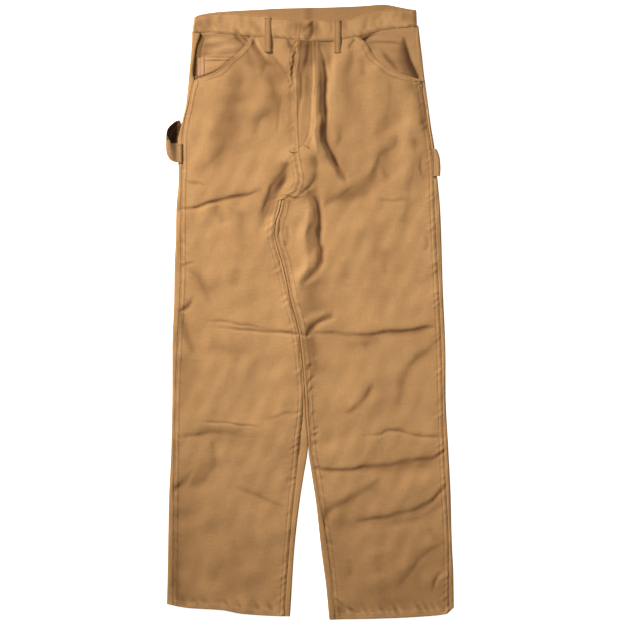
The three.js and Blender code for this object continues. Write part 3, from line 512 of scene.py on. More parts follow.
def curve(rows, key, column, at):
    """Smooth curve through a table's points that never swings past them."""
    order = np.argsort(rows[key])
    place, value = rows[key][order], rows[column][order]
    step = np.diff(place)
    rise = np.diff(value) / step
    slope = np.zeros(len(value))
    same = rise[:-1] * rise[1:] > 0
    slope[1:-1][same] = 2 * rise[:-1][same] * rise[1:][same] / (rise[:-1] + rise[1:])[same]
    slope[0], slope[-1] = rise[0], rise[-1]
    i = np.clip(np.searchsorted(place, at) - 1, 0, len(step) - 1)
    t = np.clip((at - place[i]) / step[i], 0, 1)
    start = value[i] * (1 + 2 * t) * (1 - t) ** 2 + slope[i] * step[i] * t * (1 - t) ** 2
    end = value[i + 1] * t * t * (3 - 2 * t) + slope[i + 1] * step[i] * t * t * (t - 1)
    return start + end


def at_y(rows, column, y):
    return curve(rows, "y", column, y)


def at_x(rows, x):
    return curve(rows, "x", "y", x)


WAVES = 14


def swell(x, y, length, seed):
    """Soft uneven waves of about the given length, between about -2 and 2."""
    rng = np.random.default_rng(seed)
    total = 0
    for _ in range(WAVES):
        angle, phase = rng.uniform(0, math.tau, 2)
        k = math.tau / (length * rng.uniform(0.7, 1.6))
        total = total + np.sin(k * (x * math.cos(angle) + y * math.sin(angle)) + phase)
    return total / math.sqrt(WAVES / 2)


def fold_relief(folds, x, y):
    """Height of folds that are given point by point, each on its own smooth line."""
    x, y = np.broadcast_arrays(x, y)
    total = np.zeros(x.shape)
    for fold in folds:
        reach = 3 * max(fold["right"].max(), fold["left"].max())
        near = (x > fold["x"].min() - reach) & (x < fold["x"].max() + reach)
        near = near & (y > fold["y"].min() - reach) & (y < fold["y"].max() + reach)
        if near.any():
            total[near] += one_fold(fold, x[near], y[near])
    return total


def one_fold(fold, x, y):
    """Height of one fold at each place, from the nearest point of its line."""
    run = np.concatenate([[0], np.cumsum(np.hypot(np.diff(fold["x"]), np.diff(fold["y"])))])
    rows = dict(fold, s=run)
    s = np.linspace(0, run[-1], int(run[-1] / FOLD_STEP) + 2)
    line = np.stack([curve(rows, "s", "x", s), curve(rows, "s", "y", s)], axis=1)
    way = np.gradient(line, axis=0)
    way = way / np.linalg.norm(way, axis=1, keepdims=True)
    gap = (x[:, None] - line[:, 0]) ** 2 + (y[:, None] - line[:, 1]) ** 2
    i = gap.argmin(axis=1)
    dx, dy = x - line[i, 0], y - line[i, 1]
    ahead = dx * way[i, 0] + dy * way[i, 1]
    side = dy * way[i, 0] - dx * way[i, 1]
    at = s[i] + ahead
    width = np.where(side > 0, curve(rows, "s", "right", at), curve(rows, "s", "left", at))
    beyond = np.maximum(-at, at - run[-1]).clip(0) / width
    section = np.exp(-np.abs(side / width) ** FOLD_POWER)
    return -curve(rows, "s", "depth", at) * section * np.exp(-beyond ** 2)


def crease_relief(x, y):
    """Height of all creases; their lines wander a little and their depth is uneven."""
    wander_x = x + WANDER * swell(x, y, 48, 11) + FINE_WANDER * swell(x, y, 19, 12)
    wander_y = y + WANDER * swell(x, y, 44, 13)
    total = np.zeros(np.broadcast(x, y).shape)
    for x1, y1, x2, y2, bow, width, depth, lip in zip(*CREASES.values()):
        length = math.hypot(x2 - x1, y2 - y1)
        ux, uy = (x2 - x1) / length, (y2 - y1) / length
        t = ((wander_x - x1) * ux + (wander_y - y1) * uy) / length
        off = ((wander_y - y1) * ux - (wander_x - x1) * uy - bow * 4 * t * (1 - t)) / width
        fade = ease(0, END_FADE, t) * ease(0, END_FADE, 1 - t)
        ridge = abs(lip) * hump(off, LIP_PLACE * np.sign(lip), 1)
        total += fade * (ridge - depth * np.exp(-np.abs(off) ** CREASE_POWER))
    uneven = 1 + UNEVEN * swell(x, y, 40, 15)
    uneven = uneven * mix(LOWER_FOLDS, 1, ease(KNEE_LOW, KNEE_HIGH, y))
    folds = fold_relief(FOLDS, mix(x, wander_x, FOLD_WANDER), mix(y, wander_y, FOLD_WANDER))
    return (DEEPER * total + DEEPER_FOLDS * folds) * uneven


BUNCHED = 0.4  # height of the creases where the fly is bunched
BUNCH_LOW, BUNCH_HIGH = 380, 440  # where they begin, and where they are whole
BUNCH_PLACE = -3  # from the edge of the fly
BUNCH_WIDE = 6


def fly_crumple(x, y):
    """Small hard creases where the edge of the fly is bunched."""
    near = hump(x - at_y(FLY_EDGE, "x", y), BUNCH_PLACE, BUNCH_WIDE)
    return BUNCHED * swell(1.5 * x, 1.3 * y, 9, 17) * near * ease(BUNCH_LOW, BUNCH_HIGH, y)


# Slack of the cloth: height and length of its swells, how far they are drawn out, and a seed
SLACK = ((0.9, 110, 1, 3), (0.27, 36, 0.7, 5), (0.03, 13, 1, 8))


def relief(x, y):
    """What the creases and the slack of the cloth add to the front's even height."""
    slack = sum(height * swell(x, y * drawn, length, seed) for height, length, drawn, seed in SLACK)
    return crease_relief(x, y) + fly_crumple(x, y) + slack


FREE_SINK = 0.6  # the share of its way down that a hollow sinks freely


def held_up(height):
    """Deep hollows level off softly before they reach the layers below."""
    free = FREE_SINK * (LAY - LOWEST_FRONT)
    rest = LAY - LOWEST_FRONT - free
    return np.maximum(height, -free) - rest * np.tanh(np.maximum(-height - free, 0) / rest)


def front_height(x, y):
    return LAY + held_up(relief(x, y))


def fly_rise(x, y):
    """The fly lies on the other panel, so it is higher as far as its facing reaches."""
    across = 1 - ease(FLY_FLAT, FLY_FLAT + FLY_SLOPE, x - at_y(FLY_EDGE, "x", y))
    return FLY_RISE * across * ease(FLY_FOOT - 35, FLY_FOOT - 8, y)


def fly_rows(x, y):
    """Grooves that the two rows of stitches pull into the fly."""
    near = hump(x, at_y(FLY_STITCH_NEAR, "x", y), SOFT_ROW)
    far = hump(x, at_y(FLY_STITCH_FAR, "x", y), SOFT_ROW)
    return FLY_GROOVE * (near + far) * ease(FLY_FOOT - 6, FLY_FOOT + 6, y)


def curved_y(x, y, waist, hem):
    """Rows follow the waist seam's curve at the top and the hem's at the bottom."""
    top = ease(WAIST - TOP_BLEND, WAIST, y) * (at_x(waist, x) - SEAM - WAIST)
    foot = (1 - ease(HEM, HEM + HEM_BLEND, y)) * (at_x(hem, x) - HEM)
    return y + top + foot


# How far from a seam's edge the mesh has its closer rows
NEAR = np.array([0, 0.6, 1.2, 1.9, 2.6, 3.6, 4.8, 6.2, 7.4, 8.1, 8.8, 10])


def spaced(start, end, count):
    """Places from start to end, closer together beside both; start and end may be arrays."""
    start, end = np.atleast_1d(start)[:, None], np.atleast_1d(end)[:, None]
    width = np.abs(end - start)
    middle = NEAR[-1] + (width - 2 * NEAR[-1]) * np.linspace(0, 1, count)[1:-1]
    near = np.broadcast_to(NEAR, (len(start), len(NEAR)))
    places = np.concatenate([near, middle, width - near[:, ::-1]], axis=1)
    return start + np.sign(end - start) * places


def felled(d):
    """Section of a felled, twice stitched seam at a distance from its edge."""
    roll = -EDGE_ROLL * hump(d, 0, EDGE_WIDE)
    ridge = FELL_RIDGE * (ease(0.4, 1.4, d) - ease(FELL_FAR, FELL_FAR + 2.6, d))
    return roll + ridge - FELL_GROOVE * (hump(d, FELL_NEAR, ROW) + hump(d, FELL_FAR, ROW))


def row_tone(d):
    """Painted shade where the two rows of a felled seam pull the cloth in."""
    return -ROW_TONE * (hump(d, FELL_NEAR, SOFT_ROW) + hump(d, FELL_FAR, SOFT_ROW))


def pucker(d, along, seed):
    """Short uneven ripples that the sewing draws up across a seam."""
    ripples = swell(along + 0.6 * d, along * 0, PUCKER_LENGTH, seed)
    return PUCKER * ripples * hump(d, 0, PUCKER_REACH)


def hem_relief(over, along, seed):
    """Section of the turned-up hem at a height over its edge."""
    turned = HEM_STEP * (1 - ease(HEM_STITCH, HEM_STITCH + 2.5, over))
    row = -HEM_GROOVE * hump(over, HEM_STITCH, SOFT_ROW)
    drawn = HEM_PUCKER * pucker((over - HEM_STITCH) * 1.1, along, seed)
    return turned + row - EDGE_ROLL * hump(over, 0, EDGE_WIDE) + drawn


STEEPEST = 6  # a seam's edge never slants more


def slope_share(edge, y):
    """Turns a distance across the garment into one square to a slanting edge."""
    lean = edge(y + 0.5) - edge(y - 0.5)
    lean = np.where(np.abs(lean) > STEEPEST, 0, lean)  # a jump to the next piece's edge
    return 1 / np.sqrt(1 + lean ** 2)


# How strongly each relief is painted on the cloth: shade in hollows, light on ridges
SEWN_TONE = 1.6
FLY_ROW_TONE = 4
CRUMPLE_TONE = 3
WAIST_HELD = 0.25  # the share of the folds that reaches the waist seam


def panel_height(panel, x, y):
    """Outer height of a front panel, given its nominal rows, and its painted tone: shade in hollows, light on
    ridges.
    """
    left, right = panel["left"], panel["right"]
    true_y = curved_y(x, y, WAIST_FRONT, panel["hem"])
    d_left = (x - left(y)) * slope_share(left, y)
    d_right = (right(y) - x) * slope_share(right, y)
    d_scoop = d_left if panel["scoop"] == "left" else d_right
    calm = np.where(y > SCOOP_FOOT - 6, ease(-3, 9, d_scoop), 1)
    raised = held_up(relief(x, true_y))
    share_left, share_right = panel["sewn_left"](y), panel["sewn_right"](y)
    sewn = felled(d_left) * share_left + felled(d_right) * share_right
    sewn = sewn + pucker(d_left - 5, y, 21) + pucker(d_right - 5, y, 22)
    sewn = sewn + hem_relief(y - HEM, x, 23) * (1 - ease(HEM + 30, HEM + 40, y))
    # Painted tone: shade in the grooves of seam rows, the fly's rows, crumples and creases
    rows = row_tone(d_left) * np.minimum(1, 2 * share_left)
    rows = rows + row_tone(d_right) * np.minimum(1, 2 * share_right)
    rows = rows - FLY_ROW_TONE * fly_rows(x, y) * (panel is LEFT_PANEL)
    creased = crease_relief(x, true_y) + CRUMPLE_TONE * fly_crumple(x, true_y)
    tone = creased * calm + SEWN_TONE * sewn + rows
    held = mix(WAIST_HELD, 1, ease(WAIST, WAIST - 15, y))
    return LAY + raised * calm * held + sewn + panel["lift"](x, y), tone


def tucked(y):
    return ease(FLY_FOOT, FLY_FOOT + TUCK_START, y)


SCOOP_SEWN = 0.5  # the pocket edges stand up less than the other seams
RIGHT_PANEL = {
    "left": lambda y: np.where(y > SCOOP_FOOT, at_y(RIGHT_SCOOP, "x", y), at_y(RIGHT_OUTER, "seam", y)),
    "right": lambda y: np.where(
        y <= CROTCH, at_y(RIGHT_INNER, "seam", y),
        at_y(FLY_EDGE, "x", y) - SEAM + (FLY_TUCK + SEAM) * tucked(y)),
    "lift": lambda x, y: -TUCK_DROP * ease(-12, -1, x - at_y(FLY_EDGE, "x", y)) * tucked(y),
    "sewn_left": lambda y: np.where(y > SCOOP_FOOT, SCOOP_SEWN, 1.0),
    "sewn_right": lambda y: np.where(
        y > CROTCH, 0.4 * (1 - tucked(y)), mix(0.5, 1.3, ease(-120, -175, y))),
    "hem": HEM_RIGHT,
    "scoop": "left",
}
LEFT_PANEL = {
    "left": lambda y: np.where(y > CROTCH, at_y(FLY_EDGE, "x", y), at_y(LEFT_INNER, "seam", y)),
    "right": lambda y: np.where(y > SCOOP_FOOT, at_y(LEFT_SCOOP, "x", y), at_y(LEFT_OUTER, "seam", y)),
    "lift": lambda x, y: fly_rise(x, y) - fly_rows(x, y),
    "sewn_left": lambda y: np.where(y > CROTCH, 1.0, 0.65),
    "sewn_right": lambda y: np.where(y > SCOOP_FOOT, SCOOP_SEWN, 1.0),
    "hem": HEM_LEFT,
    "scoop": "right",
}


def weave_of(points, raised):
    """Cloth coordinates of a grid: across and along in millimetres, and its painted tone of shade and light.
    """
    steps = np.linalg.norm(np.diff(points, axis=1), axis=2)
    across = np.concatenate([np.zeros((len(points), 1)), np.cumsum(steps, axis=1)], axis=1)
    across = across + points[:, :1, 0]
    return np.stack([across, points[..., 1], raised + np.zeros_like(across)], axis=2)


def shell(name, grids):
    """A closed thin wall of one or more grids, each with outer points, inner points and weave."""
    points, faces, weave, count = [], [], [], 0
    for outer, inner, cloth, coarse in grids:
        rows, columns = outer.shape[:2]
        top = count + np.arange(rows * columns).reshape(rows, columns)
        low = inner[::coarse, ::coarse]
        bottom = count + rows * columns + np.arange(low[..., 0].size).reshape(low.shape[:2])
        faces += quads(top) + quads(bottom[:, ::-1])
        for line, under in borders(top, bottom):
            faces += rim(line, under, coarse)
        points += [outer.reshape(-1, 3), low.reshape(-1, 3)]
        weave += [cloth.reshape(-1, 3), cloth[::coarse, ::coarse].reshape(-1, 3)]
        count += rows * columns + bottom.size
    return build(name, np.concatenate(points), faces, np.concatenate(weave))


def laid(name, points, tone, thick):
    """One piece of cloth given by its upper face, with the lower one straight under it."""
    return shell(name, [(points, points - np.array([0, 0, thick]), weave_of(points, tone), 1)])


def quads(ids):
    corners = [ids[:-1, :-1], ids[1:, :-1], ids[1:, 1:], ids[:-1, 1:]]
    return np.stack(corners, axis=2).reshape(-1, 4).tolist()


def borders(top, bottom):
    sides = (lambda g: g[0], lambda g: g[:, -1], lambda g: g[-1, ::-1], lambda g: g[::-1, 0])
    return [(side(top), side(bottom)) for side in sides]


def rim(line, under, coarse):
    """Faces that join an edge of the outer layer to the same edge of the inner one."""
    line, under = line.tolist(), under.tolist()
    parts = range(len(under) - 1)
    return [line[i * coarse:(i + 1) * coarse + 1] + [under[i + 1], under[i]] for i in parts]


SHARP = 42  # degrees from which an edge is shaded as one


def build(name, points, faces, weave):
    mesh = bpy.data.meshes.new(name)
    mesh.from_pydata((points * MM).tolist(), [], faces)
    work = bmesh.new()
    work.from_mesh(mesh)
    bmesh.ops.recalc_face_normals(work, faces=work.faces)
    work.to_mesh(mesh)
    work.free()
    cloth = mesh.attributes.new("cloth", "FLOAT_VECTOR", "POINT")
    cloth.data.foreach_set("vector", weave.ravel())
    mesh.shade_smooth()
    mesh.set_sharp_from_angle(angle=math.radians(SHARP))
    piece = bpy.data.objects.new(name, mesh)
    bpy.context.scene.collection.objects.link(piece)
    return piece


def claim(piece, node, material):
    """Ties a piece to the frame: its body, the solid that it stands for and its finish."""
    piece.data.materials.append(material)
    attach(piece, "root")
    if node:
        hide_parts(node)
    return piece


# Cloth

def opaque(colour):
    return colour if hasattr(colour, "is_output") else (*colour, 1)


class Graph:
    """Short names for building a node material."""

    def __init__(self, name):
        self.material = bpy.data.materials.new(name)
        self.material.use_nodes = True
        self.nodes = self.material.node_tree.nodes
        self.links = self.material.node_tree.links
        self.shader = self.nodes["Principled BSDF"]

    def feed(self, node, values):
        for key, value in values.items():
            if hasattr(value, "is_output"):
                self.links.new(value, node.inputs[key])
            else:
                node.inputs[key].default_value = value

    def math(self, operation, *values):
        node = self.nodes.new("ShaderNodeMath")
        node.operation = operation
        self.feed(node, dict(enumerate(values)))
        return node.outputs[0]

    def plus(self, a, b):
        return self.math("ADD", a, b)

    def times(self, a, b):
        return self.math("MULTIPLY", a, b)

    def clamp(self, value, most):
        return self.math("MINIMUM", self.math("MAXIMUM", value, 0.0), most)

    def vector(self, x, y):
        node = self.nodes.new("ShaderNodeCombineXYZ")
        self.feed(node, {0: x, 1: y})
        return node.outputs[0]

    def split(self, vector):
        node = self.nodes.new("ShaderNodeSeparateXYZ")
        self.links.new(vector, node.inputs[0])
        return node.outputs

    def place(self):
        return self.nodes.new("ShaderNodeTexCoord").outputs["Object"]

    def noise(self, vector, scale, detail=2.0):
        node = self.nodes.new("ShaderNodeTexNoise")
        self.feed(node, {"Vector": vector, "Scale": scale, "Detail": detail})
        return node.outputs["Fac"]

    def blend(self, factor, a, b):
        node = self.nodes.new("ShaderNodeMix")
        node.data_type = "RGBA"
        self.feed(node, {0: factor, 6: opaque(a), 7: opaque(b)})
        return node.outputs[2]

    def finish(self, colour, rough):
        self.feed(self.shader, {"Base Color": colour, "Roughness": rough})

    def bump(self, height, strength, distance):
        node = self.nodes.new("ShaderNodeBump")
        self.feed(node, {"Strength": strength, "Distance": distance, "Height": height})
        self.links.new(node.outputs[0], self.shader.inputs["Normal"])


WARP = 0.62  # millimetres from thread to thread
WEFT = 0.7
WORN_AND_LIT = (0.72, 0.47, 0.24)  # paler on raised cloth: rubbed wear, and painted light on ridges and swells
WORN_AND_LIT_MOST = 0.25
HOLLOW_SHADE_RATE = 0.34  # how fast painted shade deepens with a hollow's depth
HOLLOW_SHADE_MOST = 0.86
CORE_SHADE = (0.05, 0.016, 0.004)  # painted shade at the bottom of the deepest folds, from this depth on
CORE_SHADE_FROM = 4.2
CORE_SHADE_MOST = 0.72


def duck(name, light, dark, painted_shade):
    """Heavy plain weave: slubs along both threads, mottled dye, painted light and wear on ridges, painted
    shade in folds.
    """
    g = Graph(name)
    attribute = g.nodes.new("ShaderNodeAttribute")
    attribute.attribute_name = "cloth"
    across, along, raised = g.split(attribute.outputs["Vector"])
    place = g.vector(across, along)
    over = g.math("SINE", g.times(across, math.pi / WARP))
    under = g.math("SINE", g.times(along, math.pi / WEFT))
    weave = g.times(over, under)
    weft = g.noise(g.vector(g.times(across, 0.14), along), 0.42, 5.0)
    warp = g.noise(g.vector(across, g.times(along, 0.1)), 0.5, 5.0)
    patches = g.noise(place, 0.018, 4.0)
    specks = g.noise(place, 0.35, 3.0)
    fibre = g.plus(g.plus(g.times(weft, 0.4), g.times(warp, 0.3)), g.times(specks, 0.3))
    share = g.plus(g.times(fibre, 0.75), g.times(patches, 0.35))
    share = g.times(g.math("SUBTRACT", share, 0.26), 1.9)
    colour = g.blend(g.clamp(share, 1.0), dark, light)
    # Painted shade: hollows darken towards the shade colour; ridges pale with wear and painted light; deepest
    # folds darkest
    left = g.math("EXPONENT", g.times(g.math("MINIMUM", raised, 0.0), HOLLOW_SHADE_RATE))
    colour = g.blend(g.times(g.math("SUBTRACT", 1.0, left), HOLLOW_SHADE_MOST), colour, painted_shade)
    colour = g.blend(g.clamp(g.times(raised, 0.09), WORN_AND_LIT_MOST), colour, WORN_AND_LIT)
    core = g.clamp(g.times(g.plus(raised, CORE_SHADE_FROM), -0.24), CORE_SHADE_MOST)
    g.finish(g.blend(core, colour, CORE_SHADE), g.plus(g.times(specks, 0.12), 0.84))
    g.bump(g.plus(g.times(weave, 0.12), g.times(fibre, 2.2)), 0.5, 0.0005)
    g.feed(g.shader, {"Sheen Weight": 0.12, "Sheen Roughness": 0.5, "Specular IOR Level": 0.25})
    return g.material


# The same duck with a little more or less light painted on it: slubs, ground and the painted shade of its
# hollows, near black inside the hammer loop
DUCK = duck("duck", (0.6, 0.335, 0.14), (0.4, 0.212, 0.082), (0.15, 0.062, 0.016))
BAND_DUCK = duck("duck_band", (0.59, 0.332, 0.14), (0.4, 0.212, 0.083), (0.15, 0.062, 0.016))
STRAP_DUCK = duck("duck_strap", (0.58, 0.322, 0.135), (0.38, 0.2, 0.076), (0.14, 0.058, 0.015))
LOOP_DUCK = duck("duck_loop", (0.58, 0.322, 0.135), (0.38, 0.2, 0.076), (0.02, 0.009, 0.003))
FACING_DUCK = duck("duck_facing", (0.56, 0.315, 0.135), (0.38, 0.202, 0.08), (0.14, 0.058, 0.015))


def thread_material():
    """Cotton thread, twisted, a little paler than the cloth."""
    g = Graph("thread")
    place = g.place()
    g.finish(g.blend(g.noise(place, 900.0), (0.3, 0.16, 0.06), (0.54, 0.32, 0.14)), 0.6)
    g.bump(g.noise(place, 2600.0, 1.0), 0.5, 0.0002)
    return g.material


def tape_material():
    """Woven zip tape with fine ribs."""
    g = Graph("zip_tape")
    wave = g.nodes.new("ShaderNodeTexWave")
    g.feed(wave, {"Vector": g.place(), "Scale": 420.0})
    g.finish(g.blend(wave.outputs["Fac"], (0.2, 0.13, 0.06), (0.32, 0.22, 0.11)), 0.75)
    g.bump(wave.outputs["Fac"], 0.4, 0.0002)
    return g.material


# Coloured threads of the selvedge: where they run, and the colour
SELVEDGE_THREADS = ((-195.2, (0.4, 0.12, 0.055)), (-188.4, (0.22, 0.09, 0.04)))
SELVEDGE_RIBS = 5200.0
THREAD_HALF = 0.55  # half a coloured thread's width


def selvedge_material():
    """Pale warp ribs with a red and a brown thread."""
    g = Graph("selvedge")
    across = g.split(g.place())[0]
    ribs = g.math("SINE", g.times(across, SELVEDGE_RIBS))
    ribs = g.plus(g.times(ribs, 0.5), 0.5)
    colour = g.blend(ribs, (0.42, 0.23, 0.105), (0.56, 0.34, 0.17))
    for at, thread in SELVEDGE_THREADS:
        gap = g.math("ABSOLUTE", g.math("SUBTRACT", across, at * MM))
        colour = g.blend(g.math("LESS_THAN", gap, THREAD_HALF * MM), colour, thread)
    g.finish(colour, 0.8)
    g.bump(ribs, 0.4, 0.0002)
    return g.material


SELVEDGE = selvedge_material()
THREAD_COTTON = thread_material()
ZIP_TAPE = tape_material()


# Front panels

FRONT_ROWS, FRONT_COLUMNS = 521, 113
BACK_ROWS_HIGH, BACK_ROWS_LOW = 110, 270  # above the crotch and below it


def front_panel(name, panel):
    rows = spaced(WAIST, HEM, FRONT_ROWS)[0]
    x = spaced(panel["left"](rows), panel["right"](rows), FRONT_COLUMNS)
    y = rows[:, None] + np.zeros_like(x)
    z, raised = panel_height(panel, x, y)
    outer = np.stack([x, curved_y(x, y, WAIST_FRONT, panel["hem"]), z], axis=2)
    inner = outer - np.array([0, 0, CLOTH])
    piece = shell(name + "_cloth", [(outer, inner, weave_of(outer, raised), 2)])
    return claim(piece, name, DUCK)


# Back panels

def arc(edge, height, out, steps):
    """Round a side fold from the top to the floor: x, z and the way out of the cloth."""
    a = np.linspace(math.pi / 2, -math.pi / 2, steps)
    r = (height / 2)[:, None]
    nx, nz = out * np.cos(a)[None, :], np.sin(a)[None, :]
    return edge[:, None] - out * r + nx * r, r + nz * r, nx + 0 * r, nz + 0 * r


def flat_run(start, end, z, nz, steps):
    """A level run of points between two edges."""
    start, end = np.atleast_1d(start)[:, None], np.atleast_1d(end)[:, None]
    x = mix(start, end, np.linspace(0, 1, steps)[None, :])
    return x, np.broadcast_to(z, x.shape), np.zeros_like(x), np.full_like(x, nz)


def cut(run, first=1, last=None):
    """A run without the points that the run beside it has already."""
    return tuple(part[:, first:last] for part in run)


def joined(runs):
    """Runs side by side as one: x, z and the way out of the cloth."""
    return (np.concatenate(part, axis=1) for part in zip(*runs))


def walls(x, y, z, nx, nz, thick):
    """Outer and inner points of a layer that is as thick everywhere."""
    outer = np.stack([x, y, z], axis=2)
    return outer, outer - np.stack([nx, np.zeros_like(x), nz], axis=2) * thick


ROLLED = 0.6  # how far an edge of cloth rolls in at a seam
ROLL_WIDE = 1.1
DOWNWARD = -0.9  # cloth that faces the floor has a way out below this
SIDE_SHADE = 2.4
UNDER_SHADE = 5
ROUND_STEPS = 11  # columns of the mesh round a fold of a leg
FLOOR_STEPS = 26  # and along the floor


def outer_side(leg, rows):
    """From the outer seam round the side fold to the floor."""
    edge = at_y(leg["outer"], "edge", rows)
    seam = at_y(leg["outer"], "seam", rows) + leg["out"] * SEAM
    height = front_height(edge, rows)
    turn = arc(edge, height, leg["out"], ROUND_STEPS)
    x, _, nx, nz = flat_run(seam, turn[0][:, 0], 0, 1, 9)
    z = front_height(x, rows[:, None]) - ROLLED * hump(x, seam[:, None], ROLL_WIDE)
    join = np.linspace(0, 1, 9)[None, :] ** 2
    return [(x, mix(z, height[:, None], join), nx, nz), cut(turn)]


def inner_side(leg, rows, start):
    """Along the floor from the side fold, round the inner fold and up to the inseam."""
    edge = at_y(leg["inner"], "edge", rows) - leg["out"] * LEGS_MEET
    seam = at_y(leg["inner"], "seam", rows) - leg["out"] * SEAM
    height = np.minimum(front_height(edge, rows), LAY + 1)
    turn = arc(edge, height, -leg["out"], ROUND_STEPS)
    floor = flat_run(start, turn[0][:, -1], 0, -1, FLOOR_STEPS)
    x, _, nx, nz = flat_run(turn[0][:, 0], seam, 0, 1, 5)
    z = height[:, None] - ROLLED * hump(x, seam[:, None], ROLL_WIDE)
    upward = tuple(part[:, ::-1] for part in turn)
    return [cut(floor, 1, -1), upward, cut((x, z, nx, nz))]


def back_grid(leg, rows, below):
    """A back panel above the crotch, as far as its middle seam, or below it."""
    runs = outer_side(leg, rows)
    start = runs[-1][0][:, -1]
    if below:
        runs += inner_side(leg, rows, start)
    else:
        middle = at_y(CENTRE_BACK, "x", rows) + leg["out"] * SEAM / 2
        runs.append(cut(flat_run(start, middle, 0, -1, FLOOR_STEPS)))
    x, z, nx, nz = joined(runs)
    y = rows[:, None] + np.zeros_like(x)
    front, back = (curved_y(x, y, waist, leg["hem"]) for waist in (WAIST_FRONT, WAIST_BACK))
    outer, inner = walls(x, mix(front, back, 0.5 - 0.5 * nz), z, nx, nz, CLOTH)
    under = nz < DOWNWARD
    shaded = -SIDE_SHADE * np.abs(nx) - UNDER_SHADE * under - leg["edge_shade"] * (1 - under)
    return outer, inner, weave_of(outer, shaded), 1


def back_panel(name, leg):
    upper = back_grid(leg, np.linspace(WAIST, CROTCH, BACK_ROWS_HIGH), False)
    lower = back_grid(leg, np.linspace(CROTCH, HEM, BACK_ROWS_LOW), True)
    return claim(shell(name + "_cloth", [upper, lower]), name, DUCK)


# Waistband

def band_height(side, x):
    """The band's left end lies on its right one, which is lower there."""
    if side["out"] > 0:
        return BAND_LAY + BAND_OVERLAP * (1 - ease(20, 46, x))
    return BAND_LAY - (BAND_OVERLAP + 0.2) * ease(-46, -26, x)


def band_y(x, v, floor):
    """Place up the garment at a share of the band's width, from the front's to the back's."""
    front = mix(at_x(WAIST_FRONT, x) - BAND_LAP, at_x(BAND_TOP_FRONT, x), v)
    back = mix(at_x(WAIST_BACK, x) - BAND_LAP, at_x(BAND_TOP_BACK, x), v)
    return mix(front, back, floor)


BAND_TONE = 3  # how strongly its relief is painted as shade in hollows and light on ridges
BAND_FOLD_TONE = 1.3
BAND_UNDER_SHADE = 1.5
BAND_END_SHADE = 2.5  # at the middle of the back
BAND_SIDE_SHADE = 3


def band_relief(x, v):
    """Rolled edges, a row of stitches beside each, and the curl of the band between them."""
    foot, top = v * BAND_TALL, (1 - v) * BAND_TALL
    edges = -0.4 * hump(foot, 0, 1) - 0.6 * hump(top, 0, 1)
    rows = -0.35 * (hump(foot, BAND_ROW, 0.9) + hump(top, BAND_ROW, 0.9))
    curl = 0.28 * swell(x, foot, 42, 31) + 0.1 * swell(x, v * 20, 14, 32)
    return edges + rows + curl * np.sin(np.pi * np.clip(v, 0, 1)) + pucker(foot - 3, x, 33)


def band_face(side, x, v):
    """Height of the front of the waistband."""
    return band_height(side, x) + band_relief(x, v) + fold_relief(BAND_FOLDS, x, band_y(x, v, 0))


def band_tone(x, y, v):
    """Painted shade on the front of the waistband, in its folds and along its seam."""
    foot = v * BAND_TALL
    lines = 1.8 * hump(foot, 0, 1.5) + 1.4 * hump(foot, 3.4, 1.1)
    uneven = 0.75 + 0.25 * swell(x, 0 * x, 26, 34)
    bent = BAND_FOLD_TONE * fold_relief(BAND_FOLDS, x, y)
    return BAND_TONE * band_relief(x, v) + bent - lines * uneven


def band_grid(side):
    """One half of the waistband, from its end at the fly to the middle of the back."""
    v = spaced(0, BAND_TALL, 10)[0][::-1] / BAND_TALL
    edge, end = mix(side["foot"], side["top"], v), mix(side["end_foot"], side["end_top"], v)
    middle = np.full_like(edge, CENTRE_BACK["x"][0] + side["out"] * 0.02)
    height = band_height(side, edge)
    v = v[:, None]
    turn = arc(edge, height, side["out"], 13)
    x, _, nx, nz = flat_run(end, turn[0][:, 0], 0, 1, 110)
    z = band_face(side, x, v) - ROLLED * hump(x, end[:, None], 1.2)
    z = mix(height[:, None], z, ease(0, 6, np.abs(x - turn[0][:, :1])))
    back = flat_run(turn[0][:, -1], middle, 0, -1, 40)
    x, z, nx, nz = joined([(x, z, nx, nz), cut(turn), cut(back)])
    y = band_y(x, v, 0.5 - 0.5 * nz)
    outer, inner = walls(x, y, z, nx, nz, BAND_CLOTH)
    under = nz < DOWNWARD
    face = band_tone(x, y, v) - side["end_shade"] * hump(x, edge[:, None], 5)
    tone = np.where(nz > 0.99, face, -BAND_UNDER_SHADE * under)
    tone = tone - BAND_END_SHADE * hump(x, middle[:, None], 5) * under
    tone = tone - BAND_SIDE_SHADE * (nx > 0.3) * (1 - under)
    return outer, inner, weave_of(outer, tone), 1


def waistband(name, side):
    return claim(shell(name + "_cloth", [band_grid(side)]), name, BAND_DUCK)


# Pockets and zip

# How strongly the pockets' relief is painted as shade in hollows and light on ridges
FACING_TONE = 2.3
RIPPLE_TONE = 2
COIN_TONE = 6


def under_front(x, y, layers):
    """Height just under the front panel, this many layers down."""
    return front_height(x, y) - layers * (CLOTH + SEAM)


def facing_height(side, x, y):
    """Top of a pocket facing: close under the panel, higher in the open, sewn in at the waist; and its
    painted shade and light.
    """
    open_part = side["out"] * (x - at_y(side["scoop"], "x", np.maximum(y, SCOOP_FOOT)))
    free = ease(0, 13, open_part)
    z = side["base"] + side["swell"] * free
    z = mix(z, BAND_LAY - 0.9, free * (1 - ease(1, 11, at_x(WAIST_FRONT, x) - y)))
    bent = fold_relief(side["folds"], x, y) * ease(0, 4, open_part)
    ripple = side["ripple"] * swell(x * 0.3, y, 15, side["seed"]) * free
    z = np.where(open_part > 0, z + bent + ripple, np.minimum(z, under_front(x, y, side["layers"])))
    lowest = np.where(open_part > 0, CLOTH * 2 + 0.2, CLOTH + 0.2)
    return np.maximum(z, lowest), FACING_TONE * bent + RIPPLE_TONE * ripple


